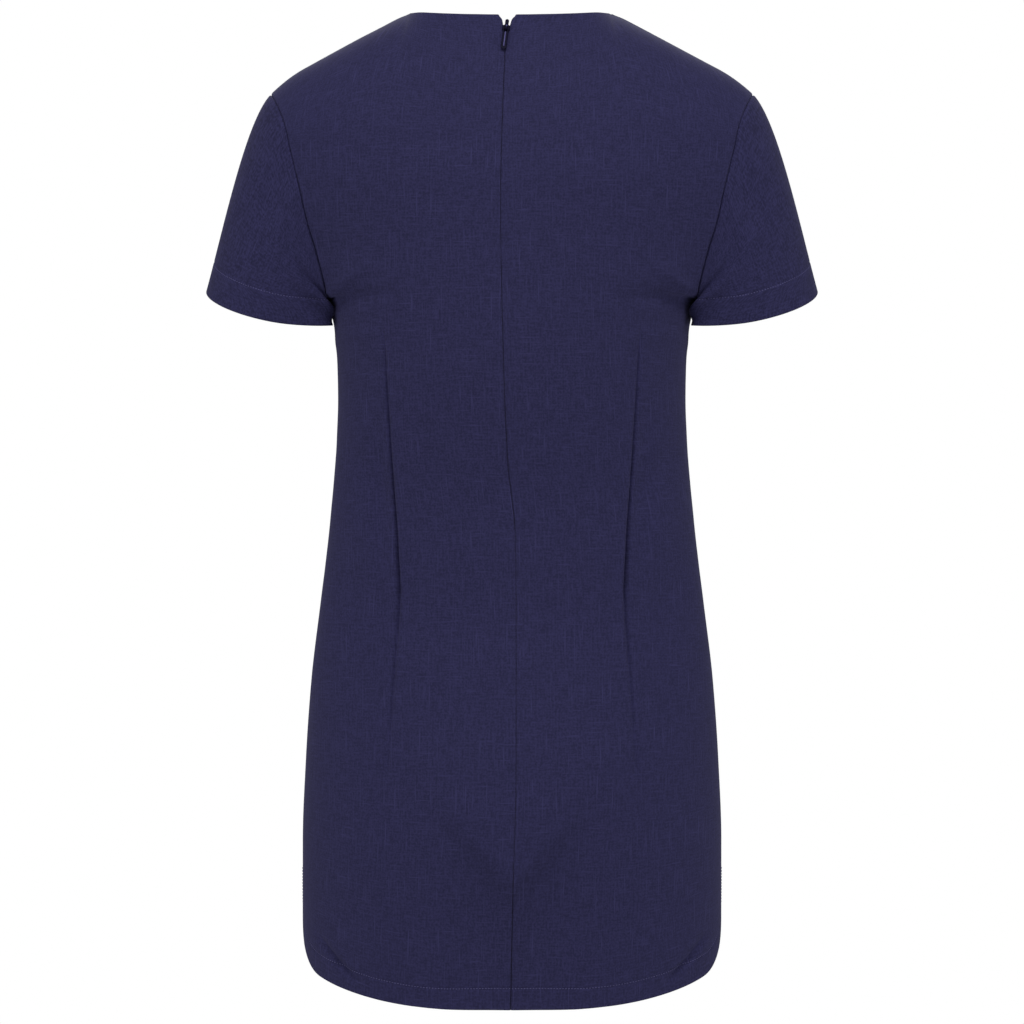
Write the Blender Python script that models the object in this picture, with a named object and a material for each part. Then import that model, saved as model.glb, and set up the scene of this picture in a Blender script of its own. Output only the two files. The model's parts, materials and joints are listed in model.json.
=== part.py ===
"""Short-sleeved work tunic, hollow, in the form it takes when it is worn.

Metres, +Z up. The back faces -Y and the wearer's right is +X. The origin lies between the two
points where the shoulder seams meet the neckline, at their height.

The cloth pieces are thin closed walls. Each is a grid laid over the worn form of its cut: rows run
round the body and columns run up it, and the dart, seam and hem lines are rows or columns of it.
"""
import math
from collections import namedtuple

import bmesh
import bpy
from mathutils import Matrix, Vector

# ---------------------------------------------------------------- cloth
WALL = 0.0015              # thickness of a cloth wall
TURN_UP = 0.0007           # what a hem's second layer adds on the inside
SEAM_GAP = 0.0003          # clearance between pieces that are sewn together
ARMHOLE_GAP = 0.0004       # the same at an armhole, where it is measured level along the cloth
INNER_BEVEL = 0.0012       # how far the armhole edges are cut back on the inside

# ---------------------------------------------------------------- body
# One row for each level of the worn form: height, half width, and how far the centre back and the
# centre front stand from the side seams.
Level = namedtuple("Level", "z half_width back front")
BODY_LEVELS = (
    Level(-0.783, 0.1655, 0.1130, 0.1080),
    Level(-0.726, 0.1672, 0.1180, 0.1090),
    Level(-0.662, 0.1672, 0.1220, 0.1100),
    Level(-0.598, 0.1648, 0.1170, 0.1090),
    Level(-0.534, 0.1604, 0.1040, 0.1060),
    Level(-0.470, 0.1528, 0.0910, 0.1010),
    Level(-0.406, 0.1452, 0.0890, 0.1010),
    Level(-0.342, 0.1400, 0.0945, 0.1090),
    Level(-0.310, 0.1388, 0.0985, 0.1150),
    Level(-0.286, 0.1392, 0.1010, 0.1190),
    Level(-0.254, 0.1416, 0.1040, 0.1210),
    Level(-0.222, 0.1452, 0.1060, 0.1160),
    Level(-0.190, 0.1540, 0.1070, 0.1080),
    Level(-0.145, 0.1720, 0.1070, 0.0955),
    Level(-0.110, 0.1860, 0.1015, 0.0830),
)
BACK_ROUNDNESS = 0.92      # 1 is an ellipse, less is squarer at the sides
FRONT_ROUNDNESS = 0.90

# The armhole seam, from the armpit up to where the yoke begins.
Armhole = namedtuple("Armhole", "z x back front")
ARMHOLE = (
    Armhole(-0.222, 0.1452, 0.0000, 0.0000),
    Armhole(-0.216, 0.1468, 0.0240, 0.0230),
    Armhole(-0.207, 0.1508, 0.0370, 0.0345),
    Armhole(-0.190, 0.1565, 0.0490, 0.0445),
    Armhole(-0.175, 0.1604, 0.0545, 0.0485),
    Armhole(-0.145, 0.1672, 0.0580, 0.0510),
    Armhole(-0.110, 0.1758, 0.0530, 0.0465),
)
ARMPIT_Z = ARMHOLE[0].z
YOKE_Z = ARMHOLE[-1].z
FLARE_POWER = 2.6          # how closely the cloth's flare to the armhole keeps to its edge

# ---------------------------------------------------------------- shoulders and neck
NECK_POINT = (0.0795, -0.004, -0.0005)    # where the shoulder seam meets the neckline
SHOULDER_TIP = (0.1930, 0.000, -0.0664)   # top of the armhole seam
SHOULDER_SLOPE = 0.530                    # fall of the shoulder seam for each metre outwards
SHOULDER_ROUND_X = 0.165                  # outside this the seam rounds down over the arm
BACK_NECK_DEPTH = 0.0585                  # neckline's reach behind the neck point
BACK_NECK_DROP = 0.0108                   # its fall from the neck point to centre back
FRONT_NECK_DEPTH = 0.0760
FRONT_NECK_DROP = 0.0845
BACK_NECK_RISE = 64.0                     # degrees that the cloth stands up at centre back
FRONT_NECK_RISE = 62.0
NECK_POINT_RISE = 12.0                    # the same at the neck point
NECK_RISE_POWER = 0.7
SHOULDER_SETTLE = 0.4                     # share of the shoulder seam where that rise dies out

# ---------------------------------------------------------------- centre back seam and zip
# The seam hangs a little to one side of the middle; x at each height.
Drift = namedtuple("Drift", "z x")
CENTRE_BACK = (
    Drift(-0.783, -0.0010),
    Drift(-0.700, 0.0006),
    Drift(-0.590, 0.0032),
    Drift(-0.480, 0.0032),
    Drift(-0.415, 0.0024),
    Drift(-0.390, 0.0000),
    Drift(-0.365, -0.0030),
    Drift(-0.290, -0.0063),
    Drift(-0.160, -0.0088),
    Drift(-0.040, -0.0054),
    Drift(-0.010, -0.0037),
)
# Half the opening between the two backs: rounded corners at the neck, closed below the slider.
Slit = namedtuple("Slit", "z half")
NECK_SLIT = (
    Slit(-0.0330, SEAM_GAP / 2),
    Slit(-0.0270, 0.0005),
    Slit(-0.0235, 0.0013),
    Slit(-0.0200, 0.0024),
    Slit(-0.0175, 0.0030),
    Slit(-0.0150, 0.0036),
    Slit(-0.0130, 0.0046),
    Slit(-0.0113, 0.0070),
)
SEAM_ROLL = 0.0008         # how far the cloth sinks into the centre back seam
ZIP_END_Z = -0.415

# ---------------------------------------------------------------- darts
# Long fisheye darts: height, distance from the middle, and how deep the stitched line lies.
Dart = namedtuple("Dart", "z x depth")
BACK_DART = (
    Dart(-0.783, 0.1000, 0.0),
    Dart(-0.592, 0.0963, 0.0),
    Dart(-0.577, 0.0952, 0.0008),
    Dart(-0.544, 0.0903, 0.0013),
    Dart(-0.502, 0.0892, 0.0018),
    Dart(-0.463, 0.0872, 0.0024),
    Dart(-0.452, 0.0849, 0.0026),
    Dart(-0.430, 0.0870, 0.0022),
    Dart(-0.383, 0.0920, 0.0017),
    Dart(-0.315, 0.0958, 0.0010),
    Dart(-0.261, 0.0997, 0.0),
    Dart(-0.110, 0.1060, 0.0),
)
FRONT_DART = (
    Dart(-0.783, 0.0980, 0.0),
    Dart(-0.570, 0.0900, 0.0),
    Dart(-0.520, 0.0870, 0.0014),
    Dart(-0.450, 0.0840, 0.0024),
    Dart(-0.380, 0.0850, 0.0018),
    Dart(-0.300, 0.0870, 0.0),
    Dart(-0.110, 0.0950, 0.0),
)
DART_WIDTH = 0.0040        # half width of the soft trough along a dart

# ---------------------------------------------------------------- hem and side vents
HEM_Z = -0.783
HEM_SWEEP = 0.038          # rise of the hem's long curve from the middle to the side
HEM_SWEEP_POWER = 3.0
HEM_CORNER = 0.039         # radius of the rounded corner at a side vent
HEM_ALLOWANCE = 0.0155
VENT_TOP_Z = -0.684
VENT_SPREAD = 0.16         # how much a vent's edge moves off the side seam for each metre down

# Rows of the body grid: height at the middle, and at the side seam or armhole.
GridRow = namedtuple("GridRow", "middle side")
BODY_ROWS = (
    GridRow(HEM_Z, HEM_Z + HEM_SWEEP + HEM_CORNER),
    GridRow(HEM_Z + HEM_ALLOWANCE, -0.6890),
    GridRow(-0.7630, -0.6855),
    GridRow(-0.7450, -0.6760),
    GridRow(-0.7200, -0.6640),
    GridRow(-0.6920, -0.6520),
    GridRow(-0.6620, -0.6380),
    GridRow(-0.6300, -0.6180),
    GridRow(-0.5950, -0.5920),
) + tuple(GridRow(z, z) for z in (
    -0.556, -0.518, -0.482, -0.452, -0.414, -0.386, -0.348, -0.310,
    -0.274, -0.243, ARMPIT_Z, -0.216, -0.207, -0.192, -0.172, -0.145, YOKE_Z))
ARMPIT_ROW = [row.side for row in BODY_ROWS].index(ARMPIT_Z)
BACK_YOKE_STEPS = (0.25, 0.50, 0.70, 0.83, 0.91, 0.96, 1.0)
FRONT_YOKE_STEPS = (0.25, 0.50, 0.75, 1.0)

# Columns: distances from the centre seam, from the dart and from the side or armhole edge.
SEAM_COLUMNS = (0.0, 0.0025, 0.0060)
EDGE_COLUMNS = (0.042, 0.024, 0.012, 0.004, 0.0)
BETWEEN_SEAM_AND_DART = 5  # columns; the last of them runs up to the neck point
BETWEEN_DART_AND_EDGE = 2

# ---------------------------------------------------------------- sleeves
CUFF_CENTRE = (0.1952, 0.0120, -0.2342)
CUFF_HALF_WIDTH = 0.0516
CUFF_HALF_DEPTH = 0.0540
CUFF_LEAN = 12.2           # degrees that the cuff's outer side is raised
CUFF_PITCH = 16.0          # degrees that the cuff's back is lowered, as the arm hangs forward
CUFF_ALLOWANCE = 0.0220
# Ways a sleeve's lines leave the armhole at the shoulder, at the body's back and under the arm,
# and the way they reach the cuff at the shoulder side; under the arm they reach it square.
LEAVE_TOP = (0.68, 0.0, -0.72)
LEAVE_BACK = (0.80, 0.22, -0.72)
LEAVE_UNDER = (0.25, 0.0, -0.97)
REACH_TOP = (0.27, 0.08, -0.96)
LEAVE_PULL = 0.52          # how far the leaving way is held, as a share of the line's length
# Rows of the sleeve, as shares of the way from the armhole to the cuff's stitched line.
SLEEVE_STEPS = (0.0, 0.08, 0.22, 0.40, 0.57, 0.75, 0.93, 1.0)

# ---------------------------------------------------------------- zip
TAPE_THICKNESS = 0.0010
TAPE_COLUMNS = (0.0006, 0.0060, 0.0120)
CHAIN_HALF_WIDTH = 0.0022
CHAIN_THICKNESS = 0.0014
SLIDER_STEP = 0.895        # place of the slider along the yoke, from its foot to the neckline
SLIDER_TILT = 6.5          # degrees that slider and tab lean in the plane of the cloth
PLATE_HALF_WIDTH = 0.0030
PLATE_TOP = 0.0032
PLATE_FOOT = -0.0041
PLATE_THICKNESS = 0.0010
PLATE_CLEARANCE = 0.0006   # from the cloth to the back of the plate
HINGE_HEIGHT = 0.0010      # from the plate to the axis of the pull tab
HINGE_DROP = 0.0022        # the axis lies this far below the middle of the slider
ARCH_HALF_WIDTH = 0.00085
ARCH_INNER = 0.00090
ARCH_OUTER = 0.00175
FUSED = 0.0003             # how deep one part of the slider sinks into the next
# Bars fused to the plate: half width, reach through the cloth along Y and along the slit, Z.
Bar = namedtuple("Bar", "name half_width y0 y1 z0 z1")
SLIDER_BARS = (
    Bar("neck", 0.0007, -0.0009, 0.0052, -0.0016, 0.0024),
    Bar("loop", 0.0011, -0.0015, -0.0007, 0.0020, 0.0066),
    Bar("body", 0.0030, 0.0045, 0.0075, -0.0050, 0.0045),
)
TAB_THICKNESS = 0.0009
TAB_LENGTH = 0.0196
TAB_NECK_HALF = 0.00205
TAB_FOOT_HALF = 0.00240
TAB_SHOULDER = 0.0046      # below the hinge, where the tab starts to widen
TAB_WINDOW_HALF = 0.00125
TAB_WINDOW_LENGTH = 0.0026
TAB_BAR = 0.00050          # half thickness of the bar that runs through the arch

# ---------------------------------------------------------------- finishes
NAVY_CLOTH = (0.030, 0.028, 0.080)
NAVY_TAPE = (0.022, 0.021, 0.055)
NAVY_TEETH = (0.020, 0.019, 0.050)
NAVY_LACQUER = (0.020, 0.020, 0.060)


def curve_through(heights, values):
    """A smooth curve through a table's values that never overshoots them."""
    spans = [b - a for a, b in zip(heights, heights[1:])]
    slopes = [(b - a) / s for a, b, s in zip(values, values[1:], spans)]
    tangents = [slopes[0]]
    for before, after in zip(slopes, slopes[1:]):
        tangents.append(0.0 if before * after <= 0 else 2 * before * after / (before + after))
    tangents.append(slopes[-1])

    def value_at(z):
        z = min(max(z, heights[0]), heights[-1])
        i = 0
        while i < len(spans) - 1 and z > heights[i + 1]:
            i += 1
        t = (z - heights[i]) / spans[i]
        return ((2 * t**3 - 3 * t**2 + 1) * values[i] + (t**3 - 2 * t**2 + t) * spans[i] * tangents[i]
                + (3 * t**2 - 2 * t**3) * values[i + 1] + (t**3 - t**2) * spans[i] * tangents[i + 1])
    return value_at


def column_curve(table, column):
    return curve_through([row.z for row in table], [getattr(row, column) for row in table])


def smooth_step(t):
    t = min(max(t, 0.0), 1.0)
    return t * t * (3 - 2 * t)


def hermite(start, start_tangent, end, end_tangent, t):
    return (start * (2 * t**3 - 3 * t**2 + 1) + start_tangent * (t**3 - 2 * t**2 + t)
            + end * (3 * t**2 - 2 * t**3) + end_tangent * (t**3 - t**2))


centre_back_x = column_curve(CENTRE_BACK, "x")
slit_half = column_curve(NECK_SLIT, "half")


class BodySide:
    """The worn form of one half of the back or of the front, from the middle to the side seam."""

    def __init__(self, face, hand):
        self.hand = hand                                   # +1 for the wearer's right, -1 for the left
        self.is_back = face == "back"
        self.outward = -1.0 if self.is_back else 1.0       # the way this face looks along Y
        self.roundness = BACK_ROUNDNESS if self.is_back else FRONT_ROUNDNESS
        self.depth = column_curve(BODY_LEVELS, face)
        self.width = column_curve(BODY_LEVELS, "half_width")
        self.arm_x = column_curve(ARMHOLE, "x")
        self.arm_depth = column_curve(ARMHOLE, face)
        dart = BACK_DART if self.is_back else FRONT_DART
        self.dart_x = column_curve(dart, "x")
        self.dart_depth = column_curve(dart, "depth")
        self.neck_depth = BACK_NECK_DEPTH if self.is_back else FRONT_NECK_DEPTH
        self.neck_drop = BACK_NECK_DROP if self.is_back else FRONT_NECK_DROP
        self.neck_rise = BACK_NECK_RISE if self.is_back else FRONT_NECK_RISE
        self.seam_columns = SEAM_COLUMNS if self.is_back else (0.0,)
        self.yoke_steps = BACK_YOKE_STEPS if self.is_back else FRONT_YOKE_STEPS
        neck_column = len(self.seam_columns) + BETWEEN_SEAM_AND_DART - 1
        self.neck_foot_x = self.at(self.column_turns(YOKE_Z)[neck_column], YOKE_Z).x

    def middle_x(self, z):
        """The centre seam's x, counted towards this half's own side."""
        return self.hand * centre_back_x(z) if self.is_back else 0.0

    def edge_turn(self, z):
        """Angle round the body at the side seam, the vent's edge or the armhole seam."""
        if z <= ARMPIT_Z:
            spread = max(0.0, VENT_TOP_Z - z) * VENT_SPREAD
            return math.pi / 2 - spread / self.depth(z)
        share = min(1.0, self.arm_depth(z) / self.depth(z))
        return math.acos(share ** (1 / self.roundness))

    def at(self, turn, z):
        """A point of the form below the yoke; x is counted towards this half's own side."""
        x = self.width(z) * math.sin(turn)
        y = self.outward * self.depth(z) * max(0.0, math.cos(turn)) ** self.roundness
        if z > ARMPIT_Z:
            edge = self.edge_turn(z)
            edge_x = self.width(z) * math.sin(edge)
            x += (self.arm_x(z) - edge_x) * max(0.0, turn / edge) ** FLARE_POWER
        return Vector((x, y, z))

    def turn_of_x(self, x, z):
        """Angle at which the hanging cloth has this x, with the centre seam's drift."""
        turn = math.asin(min(1.0, x / self.width(z)))
        drift = self.middle_x(z) * (1 - turn / self.edge_turn(z))
        return math.asin(min(1.0, (x - drift) / self.width(z)))

    def metric(self, turn, z):
        """Metres of cloth for each radian of turn."""
        step = 0.01
        return (self.at(turn, z) - self.at(turn - step, z)).length / step

    def column_turns(self, z):
        """Angles of the grid's columns at a height: centre, dart and edge keep their distances."""
        edge = self.edge_turn(z)
        gap = SEAM_GAP / 2 if z <= ARMPIT_Z else ARMHOLE_GAP
        edge -= gap / self.metric(edge, z)
        near_edge = [edge - gap / self.metric(edge, z) for gap in EDGE_COLUMNS]
        near_seam = [gap / self.metric(0.0, z) for gap in self.seam_columns]
        dart = self.turn_of_x(self.dart_x(z), z)
        step = DART_WIDTH / self.metric(dart, z)
        near_dart = [dart - step, dart, dart + step]
        turns = near_seam
        for group, count in ((near_dart, BETWEEN_SEAM_AND_DART), (near_edge, BETWEEN_DART_AND_EDGE)):
            start = turns[-1]
            turns = turns + [start + (group[0] - start) * k / (count + 1) for k in range(1, count + 1)]
            turns = turns + group
        return turns

    def hem_rise(self, turn, z):
        """How far the hem stands above its lowest point: a long sweep and a rounded corner."""
        edge = self.edge_turn(z)
        to_edge = (edge - turn) * 0.5 * (self.metric(turn, z) + self.metric(edge, z))
        half_hem = edge * 0.5 * (self.metric(0.0, z) + self.metric(edge, z))
        sweep = HEM_SWEEP * max(0.0, 1 - to_edge / half_hem) ** HEM_SWEEP_POWER
        reach = min(HEM_CORNER, max(0.0, HEM_CORNER - to_edge))
        return sweep + HEM_CORNER - math.sqrt(HEM_CORNER**2 - reach**2)

    def top_edge(self, foot_x):
        """Neckline or shoulder seam above a point of the yoke's foot, and the cloth's rise there."""
        neck_x, neck_y, neck_z = NECK_POINT
        if foot_x < self.neck_foot_x:
            around = math.pi / 2 * foot_x / self.neck_foot_x
            reach = math.cos(around)
            point = Vector((neck_x * math.sin(around), neck_y + self.outward * self.neck_depth * reach,
                            neck_z - self.neck_drop * reach))
            rise = NECK_POINT_RISE + (self.neck_rise - NECK_POINT_RISE) * reach ** NECK_RISE_POWER
            return point, math.radians(rise)
        share = (foot_x - self.neck_foot_x) / (ARMHOLE[-1].x - self.neck_foot_x)
        x = neck_x + (SHOULDER_TIP[0] - neck_x) * share
        straight = neck_z - SHOULDER_SLOPE * (x - neck_x)
        past = max(0.0, x - SHOULDER_ROUND_X)
        tip_past = SHOULDER_TIP[0] - SHOULDER_ROUND_X
        tip_straight = neck_z - SHOULDER_SLOPE * (SHOULDER_TIP[0] - neck_x)
        round_off = (tip_straight - SHOULDER_TIP[2]) * (past / tip_past) ** 2
        rise = NECK_POINT_RISE * (1 - smooth_step(share / SHOULDER_SETTLE))
        point = Vector((x, neck_y + (SHOULDER_TIP[1] - neck_y) * share, straight - round_off))
        return point, math.radians(rise)

    def on_yoke(self, turn, step):
        """A point between the foot of the yoke (step 0) and the neckline or shoulder (step 1)."""
        foot = self.at(turn, YOKE_Z)
        top, rise = self.top_edge(foot.x)
        lower = self.at(turn, YOKE_Z - 0.01)
        reach = (top - foot).length
        arrival = Vector((0.0, -self.outward * math.cos(rise), math.sin(rise)))
        return hermite(foot, (foot - lower).normalized() * reach, top, arrival * reach, step)

    def place(self, turn, z=YOKE_Z, step=0.0):
        """A point of the hanging cloth: at a height below the yoke, or at a step up the yoke.

        The centre seam's drift is added here; it dies out towards the side or armhole.
        """
        point = self.on_yoke(turn, step) if step > 0 else self.at(turn, z)
        point.x += self.middle_x(point.z) * (1 - turn / self.edge_turn(z))
        return point

    def grid(self):
        """Rows of points from the middle to the edge, and the depth of seam and dart at each."""
        points = []
        hollows = []
        for row in BODY_ROWS:
            share = (row.side - row.middle) / (BODY_ROWS[0].side - BODY_ROWS[0].middle)
            line = []
            depths = []
            for k, turn in enumerate(self.column_turns(row.middle)):
                z = row.middle + share * self.hem_rise(turn, row.middle)
                line.append(self.place(self.column_turns(z)[k], z))
                depths.append(self.hollow(k, z))
            points.append(line)
            hollows.append(depths)
        foot_turns = self.column_turns(YOKE_Z)
        for step in self.yoke_steps:
            points.append([self.place(turn, step=step) for turn in foot_turns])
            hollows.append([self.hollow(k, YOKE_Z) for k in range(len(foot_turns))])
        if self.is_back:
            self.open_slit(points)
        return points, hollows

    def open_slit(self, points):
        """Moves the columns at the centre seam off it by half the slit, fading outwards."""
        near = len(self.seam_columns)
        for line in points:
            half = slit_half(line[0].z)
            for k in range(near + 2):
                line[k].x += half * min(1.0, (near + 2 - k) / 3)

    def hollow(self, column, z):
        """Depth of the soft trough at a column: the centre seam's roll, or the dart's line."""
        if column == len(self.seam_columns) + BETWEEN_SEAM_AND_DART + 1:
            return self.dart_depth(z)
        if self.is_back and column == 0:
            return SEAM_ROLL
        return 0.0


def mirrored(points, hand):
    return [[Vector((p.x * hand, p.y, p.z)) for p in line] for line in points]


def moved_towards(point, neighbour, distance):
    span = neighbour - point
    return point + span.normalized() * min(distance, 0.4 * span.length)


def grid_normals(points, middles, closed=False):
    """Unit normals of a grid, all on the side that looks away from the middle point of each row."""
    rows = len(points)
    cols = len(points[0])
    normals = []
    outward = 0.0
    for r in range(rows):
        line = []
        for c in range(cols):
            if closed:
                along = points[r][(c + 1) % cols] - points[r][c - 1]
            else:
                along = points[r][min(c + 1, cols - 1)] - points[r][max(c - 1, 0)]
            across = points[min(r + 1, rows - 1)][c] - points[max(r - 1, 0)][c]
            normal = along.cross(across).normalized()
            outward += normal.dot(points[r][c] - middles[r])
            line.append(normal)
        normals.append(line)
    if outward < 0:
        normals = [[-normal for normal in line] for line in normals]
    return normals


def body_axis(points):
    """The middle of the body at each row of a panel's grid."""
    return [Vector((0.0, 0.0, line[0].z)) for line in points]


def new_material(name, colour, roughness, metallic=0.0):
    material = bpy.data.materials.new(name)
    material.use_nodes = True
    shader = material.node_tree.nodes["Principled BSDF"]
    shader.inputs["Base Color"].default_value = (*colour, 1.0)
    shader.inputs["Roughness"].default_value = roughness
    shader.inputs["Metallic"].default_value = metallic
    return material


def link_object(name, bm, material, sharp_angle=40.0):
    mesh = bpy.data.meshes.new(name)
    bm.to_mesh(mesh)
    bm.free()
    mesh.shade_smooth()
    mesh.set_sharp_from_angle(angle=math.radians(sharp_angle))
    mesh.materials.append(material)
    made = bpy.data.objects.new(name, mesh)
    bpy.context.scene.collection.objects.link(made)
    return made


def wall_object(name, outer, inner, material, closed=False):
    """A cloth wall: a grid of outer points, its copy pushed to the inner points, and the rim."""
    rows = len(outer)
    cols = len(outer[0])
    bm = bmesh.new()
    spare = 1 if closed else 0
    bmesh.ops.create_grid(bm, x_segments=cols - 1 + spare, y_segments=rows - 1, size=0.5)
    row_of = bm.verts.layers.int.new("row")
    col_of = bm.verts.layers.int.new("col")
    for vert in bm.verts:
        col = round((vert.co.x + 0.5) * (cols - 1 + spare)) % cols
        row = round((vert.co.y + 0.5) * (rows - 1))
        vert[row_of] = row
        vert[col_of] = col
        vert.co = outer[row][col]
    if closed:
        bmesh.ops.remove_doubles(bm, verts=bm.verts, dist=1e-7)
    copied = bmesh.ops.extrude_face_region(bm, geom=list(bm.faces), use_keep_orig=True)
    for item in copied["geom"]:
        if isinstance(item, bmesh.types.BMVert):
            item.co = inner[item[row_of]][item[col_of]]
    bmesh.ops.recalc_face_normals(bm, faces=bm.faces)
    if bm.calc_volume(signed=True) < 0:
        bmesh.ops.reverse_faces(bm, faces=bm.faces)
    return link_object(name, bm, material, sharp_angle=50.0)


def panel_walls(points, hollows, edges):
    """Trims a panel's grid at the shoulder, sinks its darts and gives it an inner side.

    edges lists the panel's outer columns and their neighbours; they are bevelled at the armhole.
    """
    normals = grid_normals(points, body_axis(points))
    points[-1] = [moved_towards(p, below, SEAM_GAP / 2) for p, below in zip(points[-1], points[-2])]
    outer = [[p - n * h for p, n, h in zip(*rows)] for rows in zip(points, normals, hollows)]
    inner = []
    for r, line in enumerate(outer):
        wall = WALL + (TURN_UP if r <= 1 else 0.0)
        inner.append([p - n * wall for p, n in zip(line, normals[r])])
    for column, neighbour in edges:
        for r in range(ARMPIT_ROW, len(inner)):
            inner[r][column] = moved_towards(inner[r][column], inner[r][neighbour], INNER_BEVEL)
    inner[-1] = [moved_towards(p, below, INNER_BEVEL / 2) for p, below in zip(inner[-1], inner[-2])]
    return outer, inner


def make_back(hand, cloth):
    side = BodySide("back", hand)
    points, hollows = side.grid()
    points = mirrored(points, hand)
    last = len(points[0]) - 1
    outer, inner = panel_walls(points, hollows, [(last, last - 1)])
    name = "back_right" if hand > 0 else "back_left"
    wall_object(name, outer, inner, cloth)


def make_front(cloth):
    side = BodySide("front", 1)
    half, hollows = side.grid()
    right = half
    left = mirrored(half, -1)
    points = [list(reversed(a))[:-1] + b for a, b in zip(left, right)]
    depths = [list(reversed(line))[:-1] + line for line in hollows]
    last = len(points[0]) - 1
    outer, inner = panel_walls(points, depths, [(0, 1), (last, last - 1)])
    wall_object("front", outer, inner, cloth)


def armhole_ring(hand):
    """The armhole seam from the shoulder tip down the back to the armpit and up the front."""
    rings = []
    for face in ("back", "front"):
        side = BodySide(face, hand)
        edge = []
        for row in BODY_ROWS[ARMPIT_ROW:]:
            edge.append(side.place(side.edge_turn(row.side), row.side))
        foot_turn = side.edge_turn(YOKE_Z)
        for step in side.yoke_steps:
            edge.append(side.place(foot_turn, step=step))
        rings.append(edge)
    back, front = rings
    return list(reversed(back)) + front[1:-1]


def cuff_frame():
    """The cuff's own axes: outwards from the body, backwards, and down along the sleeve."""
    lean = math.radians(CUFF_LEAN)
    pitch = math.radians(CUFF_PITCH)
    outwards = Vector((math.cos(lean), 0.0, math.sin(lean)))
    backwards = Vector((0.0, -math.cos(pitch), -math.sin(pitch)))
    down = backwards.cross(outwards).normalized()
    if down.z > 0:
        down.negate()
    return outwards, backwards, down


def cuff_angles(ring):
    """Angle round the cuff for each point of the armhole, 0 at the shoulder and pi under the arm."""
    count = len(ring)
    lengths = [0.0]
    for a, b in zip(ring, ring[1:] + ring[:1]):
        lengths.append(lengths[-1] + (b - a).length)
    bottom = min(range(count), key=lambda k: ring[k].z)
    angles = []
    for k in range(count):
        if k <= bottom:
            angles.append(math.pi * lengths[k] / lengths[bottom])
        else:
            rest = lengths[count] - lengths[bottom]
            angles.append(math.pi + math.pi * (lengths[k] - lengths[bottom]) / rest)
    return angles


def sleeve_points():
    """Grid of the right sleeve from its armhole seam to its cuff, row by row."""
    ring = armhole_ring(1)
    outwards, backwards, down = cuff_frame()
    columns = []
    for start, around in zip(ring, cuff_angles(ring)):
        end = (Vector(CUFF_CENTRE) + outwards * (CUFF_HALF_WIDTH * math.cos(around))
               + backwards * (CUFF_HALF_DEPTH * math.sin(around)))
        under = (1 - math.cos(around)) / 2
        leave = Vector(LEAVE_TOP).lerp(Vector(LEAVE_BACK), math.sin(around) ** 2)
        leave.y = LEAVE_BACK[1] * math.sin(around)
        leave = leave.lerp(Vector(LEAVE_UNDER), under**3)
        arrive = down.lerp(Vector(REACH_TOP), 1 - under)
        reach = (end - start).length
        stitch_share = 1 - CUFF_ALLOWANCE / reach
        line = []
        for step in SLEEVE_STEPS:
            line.append(hermite(start, leave.normalized() * reach * LEAVE_PULL,
                                end, arrive.normalized() * reach, step * stitch_share))
        columns.append(line + [end])
    return [list(row) for row in zip(*columns)]


def make_sleeve(hand, cloth):
    grid = sleeve_points()
    middles = [sum(line, Vector()) / len(line) for line in grid]
    normals = grid_normals(grid, middles, closed=True)
    inner = []
    for r, line in enumerate(grid):
        wall = WALL + (TURN_UP if r >= len(grid) - 2 else 0.0)
        inner.append([p - n * wall for p, n in zip(line, normals[r])])
    inner[0] = [moved_towards(p, q, INNER_BEVEL) for p, q in zip(inner[0], inner[1])]
    outer = mirrored(grid, hand)
    inner = mirrored(inner, hand)
    name = "sleeve_right" if hand > 0 else "sleeve_left"
    wall_object(name, outer, inner, cloth, closed=True)


def seam_line(side, distance):
    """Points down the back at a distance from the centre seam, from neckline to zip end."""
    found = []
    for step in reversed(side.yoke_steps):
        turn = distance / side.metric(0.0, YOKE_Z)
        found.append(side.place(turn, step=step))
    for row in reversed(BODY_ROWS):
        if row.middle >= ZIP_END_Z:
            found.append(side.place(distance / side.metric(0.0, row.middle), row.middle))
    return found


def make_tape(hand, tape):
    side = BodySide("back", hand)
    columns = [seam_line(side, distance) for distance in TAPE_COLUMNS]
    points = [list(line) for line in zip(*columns)][1:]
    for line in points:
        half = slit_half(line[0].z)
        for point in line:
            point.x += half
    points = mirrored(points, hand)
    normals = grid_normals(points, body_axis(points))
    start = WALL + SEAM_ROLL + SEAM_GAP
    outer = [[p - n * start for p, n in zip(*rows)] for rows in zip(points, normals)]
    inner = [[p - n * (start + TAPE_THICKNESS) for p, n in zip(*rows)] for rows in zip(points, normals)]
    name = "zip_tape_right" if hand > 0 else "zip_tape_left"
    wall_object(name, outer, inner, tape)


def make_chain(teeth):
    side = BodySide("back", 1)
    middle = seam_line(side, 0.0)
    top = slider_frame() @ Vector((0.0, 0.0, -0.0062))
    middle = [p for p in middle if p.z < top.z]
    points = []
    for p in middle:
        points.append([p + Vector((dx, 0.0, 0.0)) for dx in (-CHAIN_HALF_WIDTH, 0.0, CHAIN_HALF_WIDTH)])
    normals = grid_normals(points, body_axis(points))
    start = WALL + SEAM_ROLL + TAPE_THICKNESS + 2 * SEAM_GAP
    outer = [[p - n * start for p, n in zip(*rows)] for rows in zip(points, normals)]
    inner = [[p - n * (start + CHAIN_THICKNESS) for p, n in zip(*rows)] for rows in zip(points, normals)]
    wall_object("zip_chain", outer, inner, teeth)


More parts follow.
